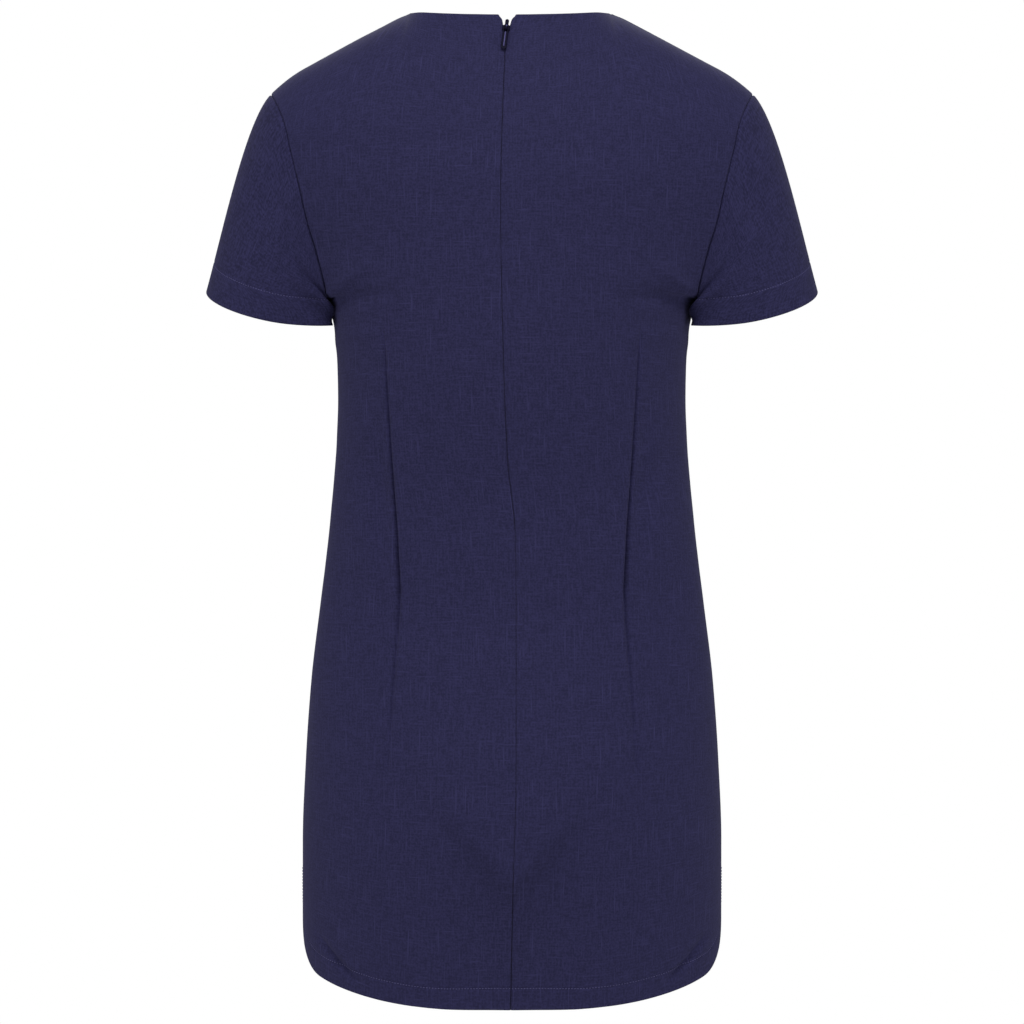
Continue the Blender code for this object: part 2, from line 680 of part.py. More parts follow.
def slider_frame():
    """Matrix of the slider: its X across the slit, its -Y out of the cloth, its Z up along it."""
    side = BodySide("back", 1)
    place = side.place(0.0, step=SLIDER_STEP)
    above = side.place(0.0, step=SLIDER_STEP + 0.02)
    below = side.place(0.0, step=SLIDER_STEP - 0.16)
    up = (above - below)
    up.x = 0.0
    up.normalize()
    across = Vector((1.0, 0.0, 0.0))
    inwards = up.cross(across)
    turn = Matrix((across, inwards, up)).transposed().to_4x4()
    tilt = Matrix.Rotation(math.radians(SLIDER_TILT), 4, "Y")
    return Matrix.Translation(place) @ turn @ tilt


def prism(outline, half_thickness, axis):
    """A flat outline of (a, b) pairs given thickness: axis X takes (y, z), axis Y takes (x, z)."""
    bm = bmesh.new()
    if axis == "X":
        verts = [bm.verts.new((-half_thickness, a, b)) for a, b in outline]
        push = Vector((2 * half_thickness, 0.0, 0.0))
    else:
        verts = [bm.verts.new((a, -half_thickness, b)) for a, b in outline]
        push = Vector((0.0, 2 * half_thickness, 0.0))
    face = bm.faces.new(verts)
    pushed = bmesh.ops.extrude_face_region(bm, geom=[face], use_keep_orig=True)
    moved = [item for item in pushed["geom"] if isinstance(item, bmesh.types.BMVert)]
    bmesh.ops.translate(bm, verts=moved, vec=push)
    bmesh.ops.recalc_face_normals(bm, faces=bm.faces)
    return bm


def shifted(bm, offset):
    bmesh.ops.translate(bm, verts=bm.verts, vec=offset)
    return bm


def join_with(base, helper, operation):
    """A live Boolean on base; the helper is only a guide."""
    helper.hide_render = True
    helper.display_type = "WIRE"
    modifier = base.modifiers.new(operation.title(), "BOOLEAN")
    modifier.operation = operation
    modifier.solver = "EXACT"
    modifier.object = helper


def arc(centre, radius, start, end, steps):
    cx, cy = centre
    angles = [math.radians(start + (end - start) * k / steps) for k in range(steps + 1)]
    return [(cx + radius * math.cos(a), cy + radius * math.sin(a)) for a in angles]


def make_slider(metal):
    """Plate outside the cloth, neck through the slit, body behind it and an arch for the tab."""
    frame = slider_frame()
    plate_back = -PLATE_CLEARANCE
    plate_front = plate_back - PLATE_THICKNESS
    hinge = plate_front - HINGE_HEIGHT
    w = PLATE_HALF_WIDTH
    half = [(w * 0.80, PLATE_FOOT), (w, PLATE_FOOT * 0.6), (w * 0.55, PLATE_TOP * 0.55),
            (w * 0.30, PLATE_TOP)]
    outline = half + [(-x, z) for x, z in reversed(half)]
    plate = shifted(prism(outline, PLATE_THICKNESS / 2, "Y"), (0, (plate_back + plate_front) / 2, 0))
    slider = link_object("zip_slider", plate, metal, 30.0)
    low = -HINGE_DROP
    ring_out = arc((hinge, low), ARCH_OUTER, 90, 270, 8)
    ring_in = arc((hinge, low), ARCH_INNER, 270, 90, 8)
    root = plate_front + FUSED
    arch_outline = [(root, low + ARCH_OUTER)] + ring_out + [(root, low - ARCH_OUTER)]
    arch_outline += [(root, low - ARCH_INNER)] + ring_in + [(root, low + ARCH_INNER)]
    guides = [link_object("guide_arch", prism(arch_outline, ARCH_HALF_WIDTH, "X"), metal, 30.0)]
    for bar in SLIDER_BARS:
        corners = [(bar.y0, bar.z0), (bar.y1, bar.z0), (bar.y1, bar.z1), (bar.y0, bar.z1)]
        guides.append(link_object("guide_" + bar.name, prism(corners, bar.half_width, "X"), metal, 30.0))
    for guide in guides:
        join_with(slider, guide, "UNION")
    for made in [slider] + guides:
        made.matrix_world = frame
    return frame @ Matrix.Translation((0.0, hinge, low))


def make_pull(metal, hinge_frame):
    """Flat tab with a window at its top; the bar above the window runs through the arch."""
    neck = TAB_NECK_HALF
    foot = TAB_FOOT_HALF
    bottom = -TAB_LENGTH + foot
    outline = arc((0.0, bottom), foot, 180, 360, 10)
    outline += [(neck, -TAB_SHOULDER), (neck, 0.0), (neck - TAB_BAR, TAB_BAR)]
    outline += [(TAB_BAR - neck, TAB_BAR), (-neck, 0.0), (-neck, -TAB_SHOULDER)]
    tab = link_object("zip_pull", prism(outline, TAB_THICKNESS / 2, "Y"), metal, 30.0)
    side = TAB_WINDOW_HALF
    end = -TAB_BAR - TAB_WINDOW_LENGTH
    window = prism([(-side, -TAB_BAR), (side, -TAB_BAR), (side, end), (-side, end)], TAB_THICKNESS, "Y")
    cutter = link_object("guide_window", window, metal, 30.0)
    join_with(tab, cutter, "DIFFERENCE")
    for made in (tab, cutter):
        made.matrix_world = hinge_frame


def main():
    for old in list(bpy.data.objects):
        bpy.data.objects.remove(old, do_unlink=True)
    cloth = new_material("navy_cloth", NAVY_CLOTH, 0.85)
    tape = new_material("zip_tape", NAVY_TAPE, 0.80)
    teeth = new_material("zip_teeth", NAVY_TEETH, 0.45)
    metal = new_material("lacquered_metal", NAVY_LACQUER, 0.30)
    make_front(cloth)
    for hand in (-1, 1):
        make_back(hand, cloth)
        make_sleeve(hand, cloth)
        make_tape(hand, tape)
    make_chain(teeth)
    make_pull(metal, make_slider(metal))


main()
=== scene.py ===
"""A navy short-sleeved work tunic with a centre back zip, seen from behind, filled out as worn."""
import json
import math
from collections import namedtuple

import bmesh
import bpy
import numpy as np
from mathutils import Matrix, Vector


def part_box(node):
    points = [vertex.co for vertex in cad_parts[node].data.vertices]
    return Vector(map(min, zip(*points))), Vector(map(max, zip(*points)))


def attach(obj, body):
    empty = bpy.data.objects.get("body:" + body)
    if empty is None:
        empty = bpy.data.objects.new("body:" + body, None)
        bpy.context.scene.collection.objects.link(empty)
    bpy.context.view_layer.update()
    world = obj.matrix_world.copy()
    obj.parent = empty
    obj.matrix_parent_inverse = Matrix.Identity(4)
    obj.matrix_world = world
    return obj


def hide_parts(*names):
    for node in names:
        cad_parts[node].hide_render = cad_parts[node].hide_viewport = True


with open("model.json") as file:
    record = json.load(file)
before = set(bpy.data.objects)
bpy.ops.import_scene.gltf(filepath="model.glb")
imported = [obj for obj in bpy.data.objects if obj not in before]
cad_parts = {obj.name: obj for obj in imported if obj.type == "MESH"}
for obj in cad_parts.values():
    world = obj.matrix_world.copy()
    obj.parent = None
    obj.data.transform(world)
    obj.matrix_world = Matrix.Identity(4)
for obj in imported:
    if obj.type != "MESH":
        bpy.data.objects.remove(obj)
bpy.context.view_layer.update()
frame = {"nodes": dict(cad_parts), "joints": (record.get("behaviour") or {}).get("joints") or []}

# ---- camera, floor and light
# The photo is taken square on from behind, level with the middle of the tunic and from some way
# off. The tunic is held clear of a plain pale floor in a white room, in soft light.
camera_data = bpy.data.cameras.new("camera")
camera_data.sensor_width = 36.0
camera_data.lens = 131.87
camera = bpy.data.objects.new("camera", camera_data)
camera.location = (0.0, -3.0, -0.400)
camera.rotation_euler = (math.radians(90.0), 0.0, 0.0)
bpy.context.scene.collection.objects.link(camera)
bpy.context.scene.camera = camera

FLOOR_Z = -1.45
FLOOR_RADIUS = 3.4


def fill(tree, socket, value):
    """Sets a node's input, or joins it to another node's output."""
    if isinstance(value, bpy.types.NodeSocket):
        tree.links.new(value, socket)
    else:
        socket.default_value = (*value, 1.0) if socket.type == "RGBA" else value


def fill_named(tree, node, **inputs):
    """Fills a node's inputs by their names, with _ for a space."""
    for name, value in inputs.items():
        fill(tree, node.inputs[name.replace("_", " ")], value)
    return node


def add_node(tree, kind, **inputs):
    return fill_named(tree, tree.nodes.new("ShaderNode" + kind), **inputs)


def new_material(name, **inputs):
    """A material with its shader's own values set, its node tree and its shader."""
    material = bpy.data.materials.new(name)
    material.use_nodes = True
    tree = material.node_tree
    return material, tree, fill_named(tree, tree.nodes["Principled BSDF"], **inputs)


def scene_object(bm, name, material):
    """A finished bmesh as a smooth object in the scene, in one material."""
    mesh = bpy.data.meshes.new(name)
    bm.to_mesh(mesh)
    bm.free()
    mesh.shade_smooth()
    mesh.materials.append(material)
    made = bpy.data.objects.new(name, mesh)
    bpy.context.scene.collection.objects.link(made)
    return made


floor_paint, _, _ = new_material("floor_paint", Base_Color=(0.80, 0.80, 0.80), Roughness=0.9)
floor_bm = bmesh.new()
bmesh.ops.create_circle(floor_bm, cap_ends=True, segments=128, radius=FLOOR_RADIUS,
                        matrix=Matrix.Translation((0.0, 0.0, FLOOR_Z)))
floor = scene_object(floor_bm, "pale_floor", floor_paint)


def soft_box(name, place, aim, size, power):
    light_data = bpy.data.lights.new(name, "AREA")
    light_data.shape = "RECTANGLE"
    light_data.size, light_data.size_y = size
    light_data.energy = power
    light = bpy.data.objects.new(name, light_data)
    light.location = place
    light.rotation_euler = (Vector(aim) - Vector(place)).to_track_quat("-Z", "Y").to_euler()
    bpy.context.scene.collection.objects.link(light)


# A soft box high above the camera, a tall one on either side, and one high up behind the tunic.
soft_box("key_light", (0.0, -1.8, 2.0), (0.0, 0.0, -0.20), (2.6, 1.0), 51.5)
for name, x in (("left_light", -2.4), ("right_light", 2.4)):
    soft_box(name, (x, -1.1, -0.25), (0.0, 0.0, -0.40), (1.0, 2.0), 14.2)
soft_box("far_light", (0.0, 2.4, 1.6), (0.0, 0.0, -0.30), (2.4, 1.2), 45.0)

# The room's walls are white where the camera sees them, and light the tunic less than that.
ROOM_LIGHT = 0.20
world = bpy.data.worlds.new("studio")
world.use_nodes = True
camera_ray = add_node(world.node_tree, "LightPath").outputs["Is Camera Ray"]
wall_light = add_node(world.node_tree, "MapRange", Value=camera_ray, To_Min=ROOM_LIGHT, To_Max=1.0)
fill_named(world.node_tree, world.node_tree.nodes["Background"], Color=(1.0, 1.0, 1.0),
           Strength=wall_light.outputs["Result"])
bpy.context.scene.world = world
bpy.context.scene.view_settings.view_transform = "Standard"

# ---- the cloth
# A plain weave of slubbed navy yarn: fine threads both ways, with thicker and paler yarn lying in
# it here and there, in long lines up the cut and in shorter ones across it. Matt, with a little nap.


SLUB_EDGE = 0.20           # how softly a slub rises out of the yarn beside it


def new_group(name, outputs, inputs):
    """A shader node group with numbers out and a Vector and numbers in, and its two ends."""
    group = bpy.data.node_groups.new(name, "ShaderNodeTree")
    for output in outputs:
        group.interface.new_socket(output, in_out="OUTPUT", socket_type="NodeSocketFloat")
    group.interface.new_socket("Vector", in_out="INPUT", socket_type="NodeSocketVector")
    for entry in inputs:
        group.interface.new_socket(entry, in_out="INPUT", socket_type="NodeSocketFloat")
    return group, group.nodes.new("NodeGroupInput"), group.nodes.new("NodeGroupOutput")


def add_group(tree, group, **inputs):
    node = add_node(tree, "Group")
    node.node_tree = group
    return fill_named(tree, node, **inputs)


def maths(tree, operation, first, second):
    node = add_node(tree, "Math")
    node.operation = operation
    fill(tree, node.inputs[0], first)
    fill(tree, node.inputs[1], second)
    return node.outputs[0]


def slub_weave_group():
    """Pattern on the piece's own map, in metres of cloth: across in U and along the warp in V."""
    group, entry, leave = new_group("slub_weave", ("Slub", "Thread", "Height"), ("Slub Level",))

    def stretched_noise(scale, offset):
        place = add_node(group, "Mapping", Vector=entry.outputs["Vector"], Scale=(*scale, 1.0),
                         Location=(offset, offset * 0.7, 0.0))
        noise = add_node(group, "TexNoise", Vector=place.outputs["Vector"], Scale=1.0, Detail=1.0,
                         Roughness=0.5)
        noise.noise_dimensions = "2D"
        return noise.outputs["Fac"]

    def peaks(source):
        """0 below the slub level and 1 a little above it, so that only the highest show."""
        level = entry.outputs["Slub Level"]
        node = add_node(group, "MapRange", Value=source, From_Min=level,
                        From_Max=maths(group, "ADD", level, SLUB_EDGE))
        node.interpolation_type = "SMOOTHSTEP"
        return node.outputs["Result"]

    def scaled(source, share):
        return maths(group, "MULTIPLY", source, share)

    warp = peaks(stretched_noise((800.0, 26.0), 3.1))
    weft = peaks(stretched_noise((44.0, 800.0), 7.7))
    warp_line = scaled(stretched_noise((720.0, 85.0), 9.4), 0.28)
    weft_line = scaled(stretched_noise((85.0, 720.0), 2.6), 0.24)
    grain = scaled(stretched_noise((640.0, 600.0), 5.9), 0.48)
    slub = maths(group, "MAXIMUM", warp, scaled(weft, 0.8))
    thread = maths(group, "ADD", maths(group, "ADD", warp_line, weft_line), grain)
    fill_named(group, leave, Slub=slub, Thread=thread,
               Height=maths(group, "ADD", scaled(slub, 0.5), thread))
    return group


def two_tone(tree, mask, dark, light):
    """Blends two colours by a mask."""
    tone = add_node(tree, "Mix")
    tone.data_type = "RGBA"
    return fill_named(tree, tone, Factor=mask, A=dark, B=light).outputs["Result"]


def relief(tree, height, strength, distance):
    """Normals of fine threads."""
    bump = add_node(tree, "Bump", Height=height, Strength=strength, Distance=distance)
    return bump.outputs["Normal"]


slub_weave = slub_weave_group()


def cloth_material(name, dark, light, slub_colour, slub_level):
    material, tree, shader = new_material(name, Roughness=0.88, Specular_IOR_Level=0.16,
                                          Sheen_Weight=0.06, Sheen_Roughness=0.5,
                                          Sheen_Tint=(0.55, 0.52, 0.80))
    place = add_node(tree, "UVMap")
    place.uv_map = "cloth_metres"
    weave = add_group(tree, slub_weave, Vector=place.outputs["UV"], Slub_Level=slub_level)
    threads = add_node(tree, "MapRange", Value=weave.outputs["Thread"], From_Min=0.38, From_Max=0.62)
    ground = two_tone(tree, threads.outputs["Result"], dark, light)
    fill_named(tree, shader, Base_Color=two_tone(tree, weave.outputs["Slub"], ground, slub_colour),
               Normal=relief(tree, weave.outputs["Height"], 0.35, 0.0004))
    return material


navy_cloth = cloth_material("navy_cloth", (0.0200, 0.0191, 0.0605), (0.0323, 0.0306, 0.0965),
                            (0.0395, 0.0373, 0.1150), 0.64)
sleeve_navy = cloth_material("sleeve_navy", (0.0175, 0.0166, 0.0540), (0.0345, 0.0327, 0.1028),
                             (0.041, 0.0387, 0.119), 0.70)

# ---- the two backs
# Each back is one piece of cloth from the neck to the hem, with a long fisheye dart. The two meet
# at the centre back, where the seam hangs a little to one side and opens into the zip's slit at
# the neck. The hem is turned up 15.5 mm, sweeps up to the sides and rounds into the side vents.


def rows_of(kind, rows):
    return [kind(*row) for row in rows]


Level = namedtuple("Level", "z half_width back front")
BODY_LEVELS = rows_of(Level, (
    (-0.783, 0.1655, 0.113, 0.108),
    (-0.726, 0.1672, 0.118, 0.109),
    (-0.662, 0.1672, 0.1215, 0.11),
    (-0.598, 0.1648, 0.1155, 0.109),
    (-0.534, 0.1604, 0.1015, 0.106),
    (-0.47, 0.1528, 0.09, 0.101),
    (-0.406, 0.1452, 0.09, 0.101),
    (-0.342, 0.14, 0.098, 0.109),
    (-0.31, 0.1388, 0.1028, 0.115),
    (-0.286, 0.1392, 0.1051, 0.119),
    (-0.254, 0.1416, 0.1066, 0.121),
    (-0.232, 0.147, 0.1071, 0.118),
    (-0.19, 0.154, 0.107, 0.108),
    (-0.145, 0.172, 0.107, 0.0955),
    (-0.11, 0.186, 0.1015, 0.083),
))
Armhole = namedtuple("Armhole", "z x back front")
ARMHOLE = rows_of(Armhole, (
    (-0.232, 0.147, 0.0, 0.0),
    (-0.2302, 0.1464, 0.033, 0.029),
    (-0.226, 0.1468, 0.042, 0.036),
    (-0.215, 0.1492, 0.0475, 0.041),
    (-0.2, 0.153, 0.0505, 0.044),
    (-0.19, 0.1557, 0.0525, 0.046),
    (-0.175, 0.1604, 0.0548, 0.0486),
    (-0.145, 0.1672, 0.058, 0.051),
    (-0.11, 0.1758, 0.053, 0.0465),
))
ARMPIT_Z = -0.232
YOKE_Z = -0.110
FLARE_POWER = 2.6
NECK_POINT = (0.0795, -0.004, -0.0005)     # where the shoulder seam meets the neckline
SHOULDER_TIP = (0.1930, 0.000, -0.0664)
SHOULDER_SLOPE = 0.530
SHOULDER_ROUND_X = 0.165
NECK_POINT_RISE = 12.0     # degrees from level at which the cloth reaches that point
NECK_RISE_POWER = 1.2
NECK_DROP_POWER = 1.3
NECK_POINT_ROUND = 0.0013  # how far the cloth sinks at that point
NECK_POINT_REACH = 0.0065
SHOULDER_SETTLE = 0.4
Mark = namedtuple("Mark", "z value")
CENTRE_BACK = rows_of(Mark, (
    (-0.783, -0.001), (-0.7, 0.0006), (-0.59, 0.0032), (-0.48, 0.0032),
    (-0.415, 0.0024), (-0.39, 0.0), (-0.365, -0.003), (-0.29, -0.0063),
    (-0.16, -0.0088), (-0.04, -0.0054), (-0.01, -0.0037),
))
NECK_SLIT = rows_of(Mark, (
    (-0.033, 0.0), (-0.027, 0.0005), (-0.0235, 0.0013), (-0.02, 0.0024),
    (-0.0175, 0.0029), (-0.015, 0.0034), (-0.0135, 0.004), (-0.0124, 0.0048),
    (-0.0113, 0.0064),
))
SLIT_KEEP = 0.006          # this near the seam the cloth moves as far as the slit's edge does
SLIT_FADE = 0.039          # and over this distance it settles back
# A dart's stitched line, how far the cloth is drawn in beside it, and how far it turns in along it.
Dart = namedtuple("Dart", "z x depth fold")
BACK_DART = rows_of(Dart, (
    (-0.783, 0.095, 0.0, 0.0),
    (-0.592, 0.0948, 0.0, 0.0),
    (-0.577, 0.0944, 0.0007, 0.0004),
    (-0.544, 0.093, 0.0012, 0.0006),
    (-0.502, 0.0903, 0.0016, 0.0007),
    (-0.47, 0.0886, 0.0022, 0.001),
    (-0.458, 0.0889, 0.0026, 0.0021),
    (-0.437, 0.0901, 0.0026, 0.0022),
    (-0.416, 0.091, 0.0022, 0.002),
    (-0.388, 0.0933, 0.0018, 0.0019),
    (-0.354, 0.0954, 0.0014, 0.0017),
    (-0.315, 0.0974, 0.001, 0.0015),
    (-0.28, 0.099, 0.0006, 0.0013),
    (-0.264, 0.0998, 0.0003, 0.0009),
    (-0.254, 0.1004, 0.0, 0.0),
    (-0.11, 0.106, 0.0, 0.0),
))
FRONT_DART = rows_of(Dart, (
    (-0.783, 0.098, 0.0, 0.0),
    (-0.57, 0.09, 0.0, 0.0),
    (-0.52, 0.087, 0.0014, 0.001),
    (-0.45, 0.084, 0.0024, 0.0018),
    (-0.38, 0.085, 0.0018, 0.0016),
    (-0.3, 0.087, 0.0, 0.0),
    (-0.11, 0.095, 0.0, 0.0),
))
# The back and the front: which way they face, how round they are (1 is an ellipse, less is squarer
# at the sides), and the neckline's depth, its drop and the cloth's rise to it in degrees.
Face = namedtuple("Face", "outward roundness dart neck_depth neck_drop neck_rise")
FACES = {
    "back": Face(-1.0, 0.92, BACK_DART, 0.0585, 0.0094, 64.0),
    "front": Face(1.0, 0.90, FRONT_DART, 0.0760, 0.0845, 62.0),
}
DART_WIDTH = 0.0040
DART_SOFTNESS = 0.0020
DART_FOLD_REACH = 0.0014
HEM_Z = -0.7860           # the cloth hangs 3 mm below its solid, where it drops in under the seat
HEM_SWEEP = 0.032
HEM_SWEEP_POWER = 2.2
HEM_CORNER = 0.0372
HEM_ALLOWANCE = 0.0155
VENT_TOP_Z = -0.684
VENT_SPREAD = 0.16         # how far a vent's edges part, for each metre down from its top
# Heights of lines of the cloth at the middle, and at the side seam.
HEM_MIDDLES, HEM_SIDES = np.array((
    (HEM_Z, HEM_Z + HEM_SWEEP + HEM_CORNER), (HEM_Z + HEM_ALLOWANCE, -0.689), (-0.763, -0.6855),
    (-0.745, -0.676), (-0.72, -0.664), (-0.692, -0.652), (-0.662, -0.638), (-0.63, -0.618),
    (-0.595, -0.592), (-0.556, -0.556),
)).T
CLOTH = 0.0006             # thickness of the cloth
FOLD = 0.0009              # radius of a turned edge
TURN_DEGREES = (150.0, 120.0, 90.0, 60.0, 30.0)
# Rows of a panel: heights above the hem, then even steps, then shares of the yoke near the neck.
HEM_ROWS = (0.0, FOLD, 0.0016, 0.0028, 0.0045, 0.0065, 0.0085, 0.0105, 0.0125, 0.0142, HEM_ALLOWANCE,
            0.0168, 0.0182, 0.0200)
NECK_ROWS = (0.95, 0.957, 0.964, 0.970, 0.976, 0.981, 0.986, 0.992, 1.0)
YOKE_LENGTH = 0.105
HEM_STITCH_ROW = HEM_ROWS.index(HEM_ALLOWANCE)
HEM_ROWS_TURNED = HEM_STITCH_ROW + 1   # the cloth turned in lies behind the rows below this one
NECK_ROWS_TURNED = 6


def hermite(start, start_tangent, end, end_tangent, t):
    """A cubic curve between two points that leaves and arrives along its tangents."""
    return (start * (2 * t**3 - 3 * t**2 + 1) + start_tangent * (t**3 - 2 * t**2 + t)
            + end * (3 * t**2 - 2 * t**3) + end_tangent * (t**3 - t**2))


def curve_through(table, column):
    """A smooth curve through a table's column that never overshoots it, for arrays of heights."""
    heights = np.array([row.z for row in table])
    values = np.array([getattr(row, column) for row in table])
    slopes = np.diff(values) / np.diff(heights)
    before, after = slopes[:-1], slopes[1:]
    turns = before * after <= 0
    inner = np.where(turns, 0.0, 2 * before * after / np.where(turns, 1.0, before + after))
    tangents = np.concatenate([slopes[:1], inner, slopes[-1:]])

    def value_at(z):
        z = np.clip(z, heights[0], heights[-1])
        i = np.clip(np.searchsorted(heights, z) - 1, 0, len(slopes) - 1)
        span = heights[i + 1] - heights[i]
        return hermite(values[i], span * tangents[i], values[i + 1], span * tangents[i + 1],
                       (z - heights[i]) / span)
    return value_at


def smooth_step(t):
    """From 0 to 1, level at both ends."""
    t = np.clip(t, 0.0, 1.0)
    return t * t * (3 - 2 * t)


def length_of(vectors):
    return np.linalg.norm(vectors, axis=-1, keepdims=True)


def unit(vectors):
    return vectors / length_of(vectors)


def between(start, end, count):
    """Values that divide the way from start to end evenly, without its ends."""
    return [start + (end - start) * (j / (count + 1)) for j in range(1, count + 1)]


centre_back_x = curve_through(CENTRE_BACK, "value")
slit_half = curve_through(NECK_SLIT, "value")

# Columns of a panel: distances from the centre seam, from the dart line and from the outer edge,
# and how many lie between them.
SEAM_COLUMNS = (0.0, 0.0003, 0.0007, 0.0012, 0.0020, 0.0035, 0.0060)
DART_COLUMNS = np.array((-0.0040, -0.0025, -0.0014, -0.0006, 0.0, 0.0006, 0.0014, 0.0025, 0.0040))
EDGE_COLUMNS = np.array((0.0090, 0.0060, 0.0040, 0.0028, 0.0019, 0.0012, 0.0007, 0.0003, 0.0))
Columns = namedtuple("Columns", "seam to_dart to_edge")
SMALL_STEP = 0.01          # radians or metres, to measure how the form runs


class BodySide:
    """The worn form of one half of the back or front, for arrays of angles and heights."""

    def __init__(self, face, hand, columns):
        self.hand = hand
        self.is_back = face == "back"
        (self.outward, self.roundness, dart, self.neck_depth, self.neck_drop,
         self.neck_rise) = FACES[face]
        self.depth = curve_through(BODY_LEVELS, face)
        self.width = curve_through(BODY_LEVELS, "half_width")
        self.arm_x = curve_through(ARMHOLE, "x")
        self.arm_depth = curve_through(ARMHOLE, face)
        self.dart_x = curve_through(dart, "x")
        self.dart_depth = curve_through(dart, "depth")
        self.dart_fold = curve_through(dart, "fold")
        self.columns = columns
        self.count = (len(columns.seam) + columns.to_dart + len(DART_COLUMNS) + columns.to_edge
                      + len(EDGE_COLUMNS))
        self.neck_foot_x = self.neck_point_x()

    def middle_x(self, z):
        return self.hand * centre_back_x(z) if self.is_back else 0.0 * z

    def edge_turn(self, z):
        """Angle round the body at the side seam, the vent's edge or the armhole seam."""
        spread = np.maximum(0.0, VENT_TOP_Z - z) * VENT_SPREAD
        below = math.pi / 2 - spread / self.depth(z)
        share = np.clip(self.arm_depth(z) / self.depth(z), 0.0, 1.0)
        return np.where(z <= ARMPIT_Z, below, np.arccos(share ** (1 / self.roundness)))

    def at(self, turn, z):
        """A point of the form below the yoke; x is counted towards this half's own side."""
        turn, z = np.broadcast_arrays(turn, z)
        x = self.width(z) * np.sin(turn)
        y = self.outward * self.depth(z) * np.maximum(0.0, np.cos(turn)) ** self.roundness
        edge = self.edge_turn(z)
        flare = self.arm_x(z) - self.width(z) * np.sin(edge)
        flare = flare * np.maximum(0.0, turn / edge) ** FLARE_POWER
        return np.stack([x + np.where(z > ARMPIT_Z, flare, 0.0), y, z], axis=-1)

    def metric(self, turn, z):
        """Metres of cloth for each radian of turn."""
        return length_of(self.at(turn, z) - self.at(turn - SMALL_STEP, z))[..., 0] / SMALL_STEP

    def group_ends(self, z):
        """Angles of the last seam column, of the dart, of the edge, and metres for each radian."""
        edge = self.edge_turn(z)
        turn = np.arcsin(np.clip(self.dart_x(z) / self.width(z), -1.0, 1.0))
        dart_x = self.dart_x(z) - self.middle_x(z) * (1 - turn / edge)
        dart = np.arcsin(np.clip(dart_x / self.width(z), -1.0, 1.0))
        seam = self.columns.seam[-1] / self.metric(0.0 * z, z)
        return seam, dart, self.metric(dart, z), edge, self.metric(edge, z)

    def neck_point_x(self):
        """The neckline ends above five sixths of the way from the seam to the dart."""
        z = np.array(YOKE_Z)
        seam, dart, per_dart, _, _ = self.group_ends(z)
        turn = seam + (dart - DART_WIDTH / per_dart - seam) * 5 / 6
        return self.at(turn, z)[0]

    def column_turns(self, z):
        """Angles of the columns at heights z, whose last axis runs over the columns."""
        seam, dart, per_dart, edge, per_edge = self.group_ends(z)
        turns = [offset / self.metric(0.0 * z, z) for offset in self.columns.seam]
        turns += between(seam, dart + DART_COLUMNS[0] / per_dart, self.columns.to_dart)
        turns += [dart + offset / per_dart for offset in DART_COLUMNS]
        turns += between(dart + DART_COLUMNS[-1] / per_dart, edge - EDGE_COLUMNS[0] / per_edge,
                         self.columns.to_edge)
        turns += [edge - offset / per_edge for offset in EDGE_COLUMNS]
        return np.stack([turn[..., k] for k, turn in enumerate(turns)], axis=-1)

    def hem_rise(self, turn, z):
        """How far the hem stands above its lowest point: a long sweep and a rounded corner."""
        edge = self.edge_turn(z)
        to_edge = (edge - turn) * 0.5 * (self.metric(turn, z) + self.metric(edge, z))
        half_hem = edge * 0.5 * (self.metric(0.0 * z, z) + self.metric(edge, z))
        sweep = HEM_SWEEP * np.clip(1 - to_edge / half_hem, 0.0, 1.0) ** HEM_SWEEP_POWER
        reach = np.clip(HEM_CORNER - to_edge, 0.0, HEM_CORNER)
        return sweep + HEM_CORNER - np.sqrt(HEM_CORNER**2 - reach**2)

    def top_edge(self, foot_x):
        """Neckline or shoulder seam above points of the yoke's foot, and the cloth's rise there."""
        neck_x, neck_y, neck_z = NECK_POINT
        around = math.pi / 2 * np.minimum(foot_x / self.neck_foot_x, 1.0)
        reach = np.maximum(0.0, np.cos(around))
        neck = np.stack([neck_x * np.sin(around), neck_y + self.outward * self.neck_depth * reach,
                         neck_z - self.neck_drop * reach ** NECK_DROP_POWER], axis=-1)
        neck_rise = NECK_POINT_RISE + (self.neck_rise - NECK_POINT_RISE) * reach ** NECK_RISE_POWER
        share = np.maximum(0.0, (foot_x - self.neck_foot_x) / (ARMHOLE[-1].x - self.neck_foot_x))
        x = neck_x + (SHOULDER_TIP[0] - neck_x) * share
        past = np.maximum(0.0, x - SHOULDER_ROUND_X) / (SHOULDER_TIP[0] - SHOULDER_ROUND_X)
        straight = neck_z - SHOULDER_SLOPE * (x - neck_x)
        tip_straight = neck_z - SHOULDER_SLOPE * (SHOULDER_TIP[0] - neck_x)
        round_off = (tip_straight - SHOULDER_TIP[2]) * past**2
        y = neck_y + (SHOULDER_TIP[1] - neck_y) * share
        shoulder = np.stack([x, y, straight - round_off], axis=-1)
        shoulder_rise = NECK_POINT_RISE * (1 - smooth_step(share / SHOULDER_SETTLE))
        on_neck = foot_x < self.neck_foot_x
        point = np.where(on_neck[..., None], neck, shoulder)
        from_point = (point[..., 0] - neck_x) / NECK_POINT_REACH
        point[..., 2] -= NECK_POINT_ROUND * np.exp(-from_point**2)
        return point, np.radians(np.where(on_neck, neck_rise, shoulder_rise))

    def on_yoke(self, turn, step):
        """Points between the foot of the yoke (step 0) and the neckline or shoulder (step 1)."""
        foot = self.at(turn, YOKE_Z)
        top, rise = self.top_edge(foot[..., 0])
        lower = self.at(turn, YOKE_Z - SMALL_STEP)
        reach = length_of(top - foot)
        arrival = np.stack([0.0 * rise, -self.outward * np.cos(rise), np.sin(rise)], axis=-1)
        return hermite(foot, unit(foot - lower) * reach, top, arrival * reach, step[..., None])

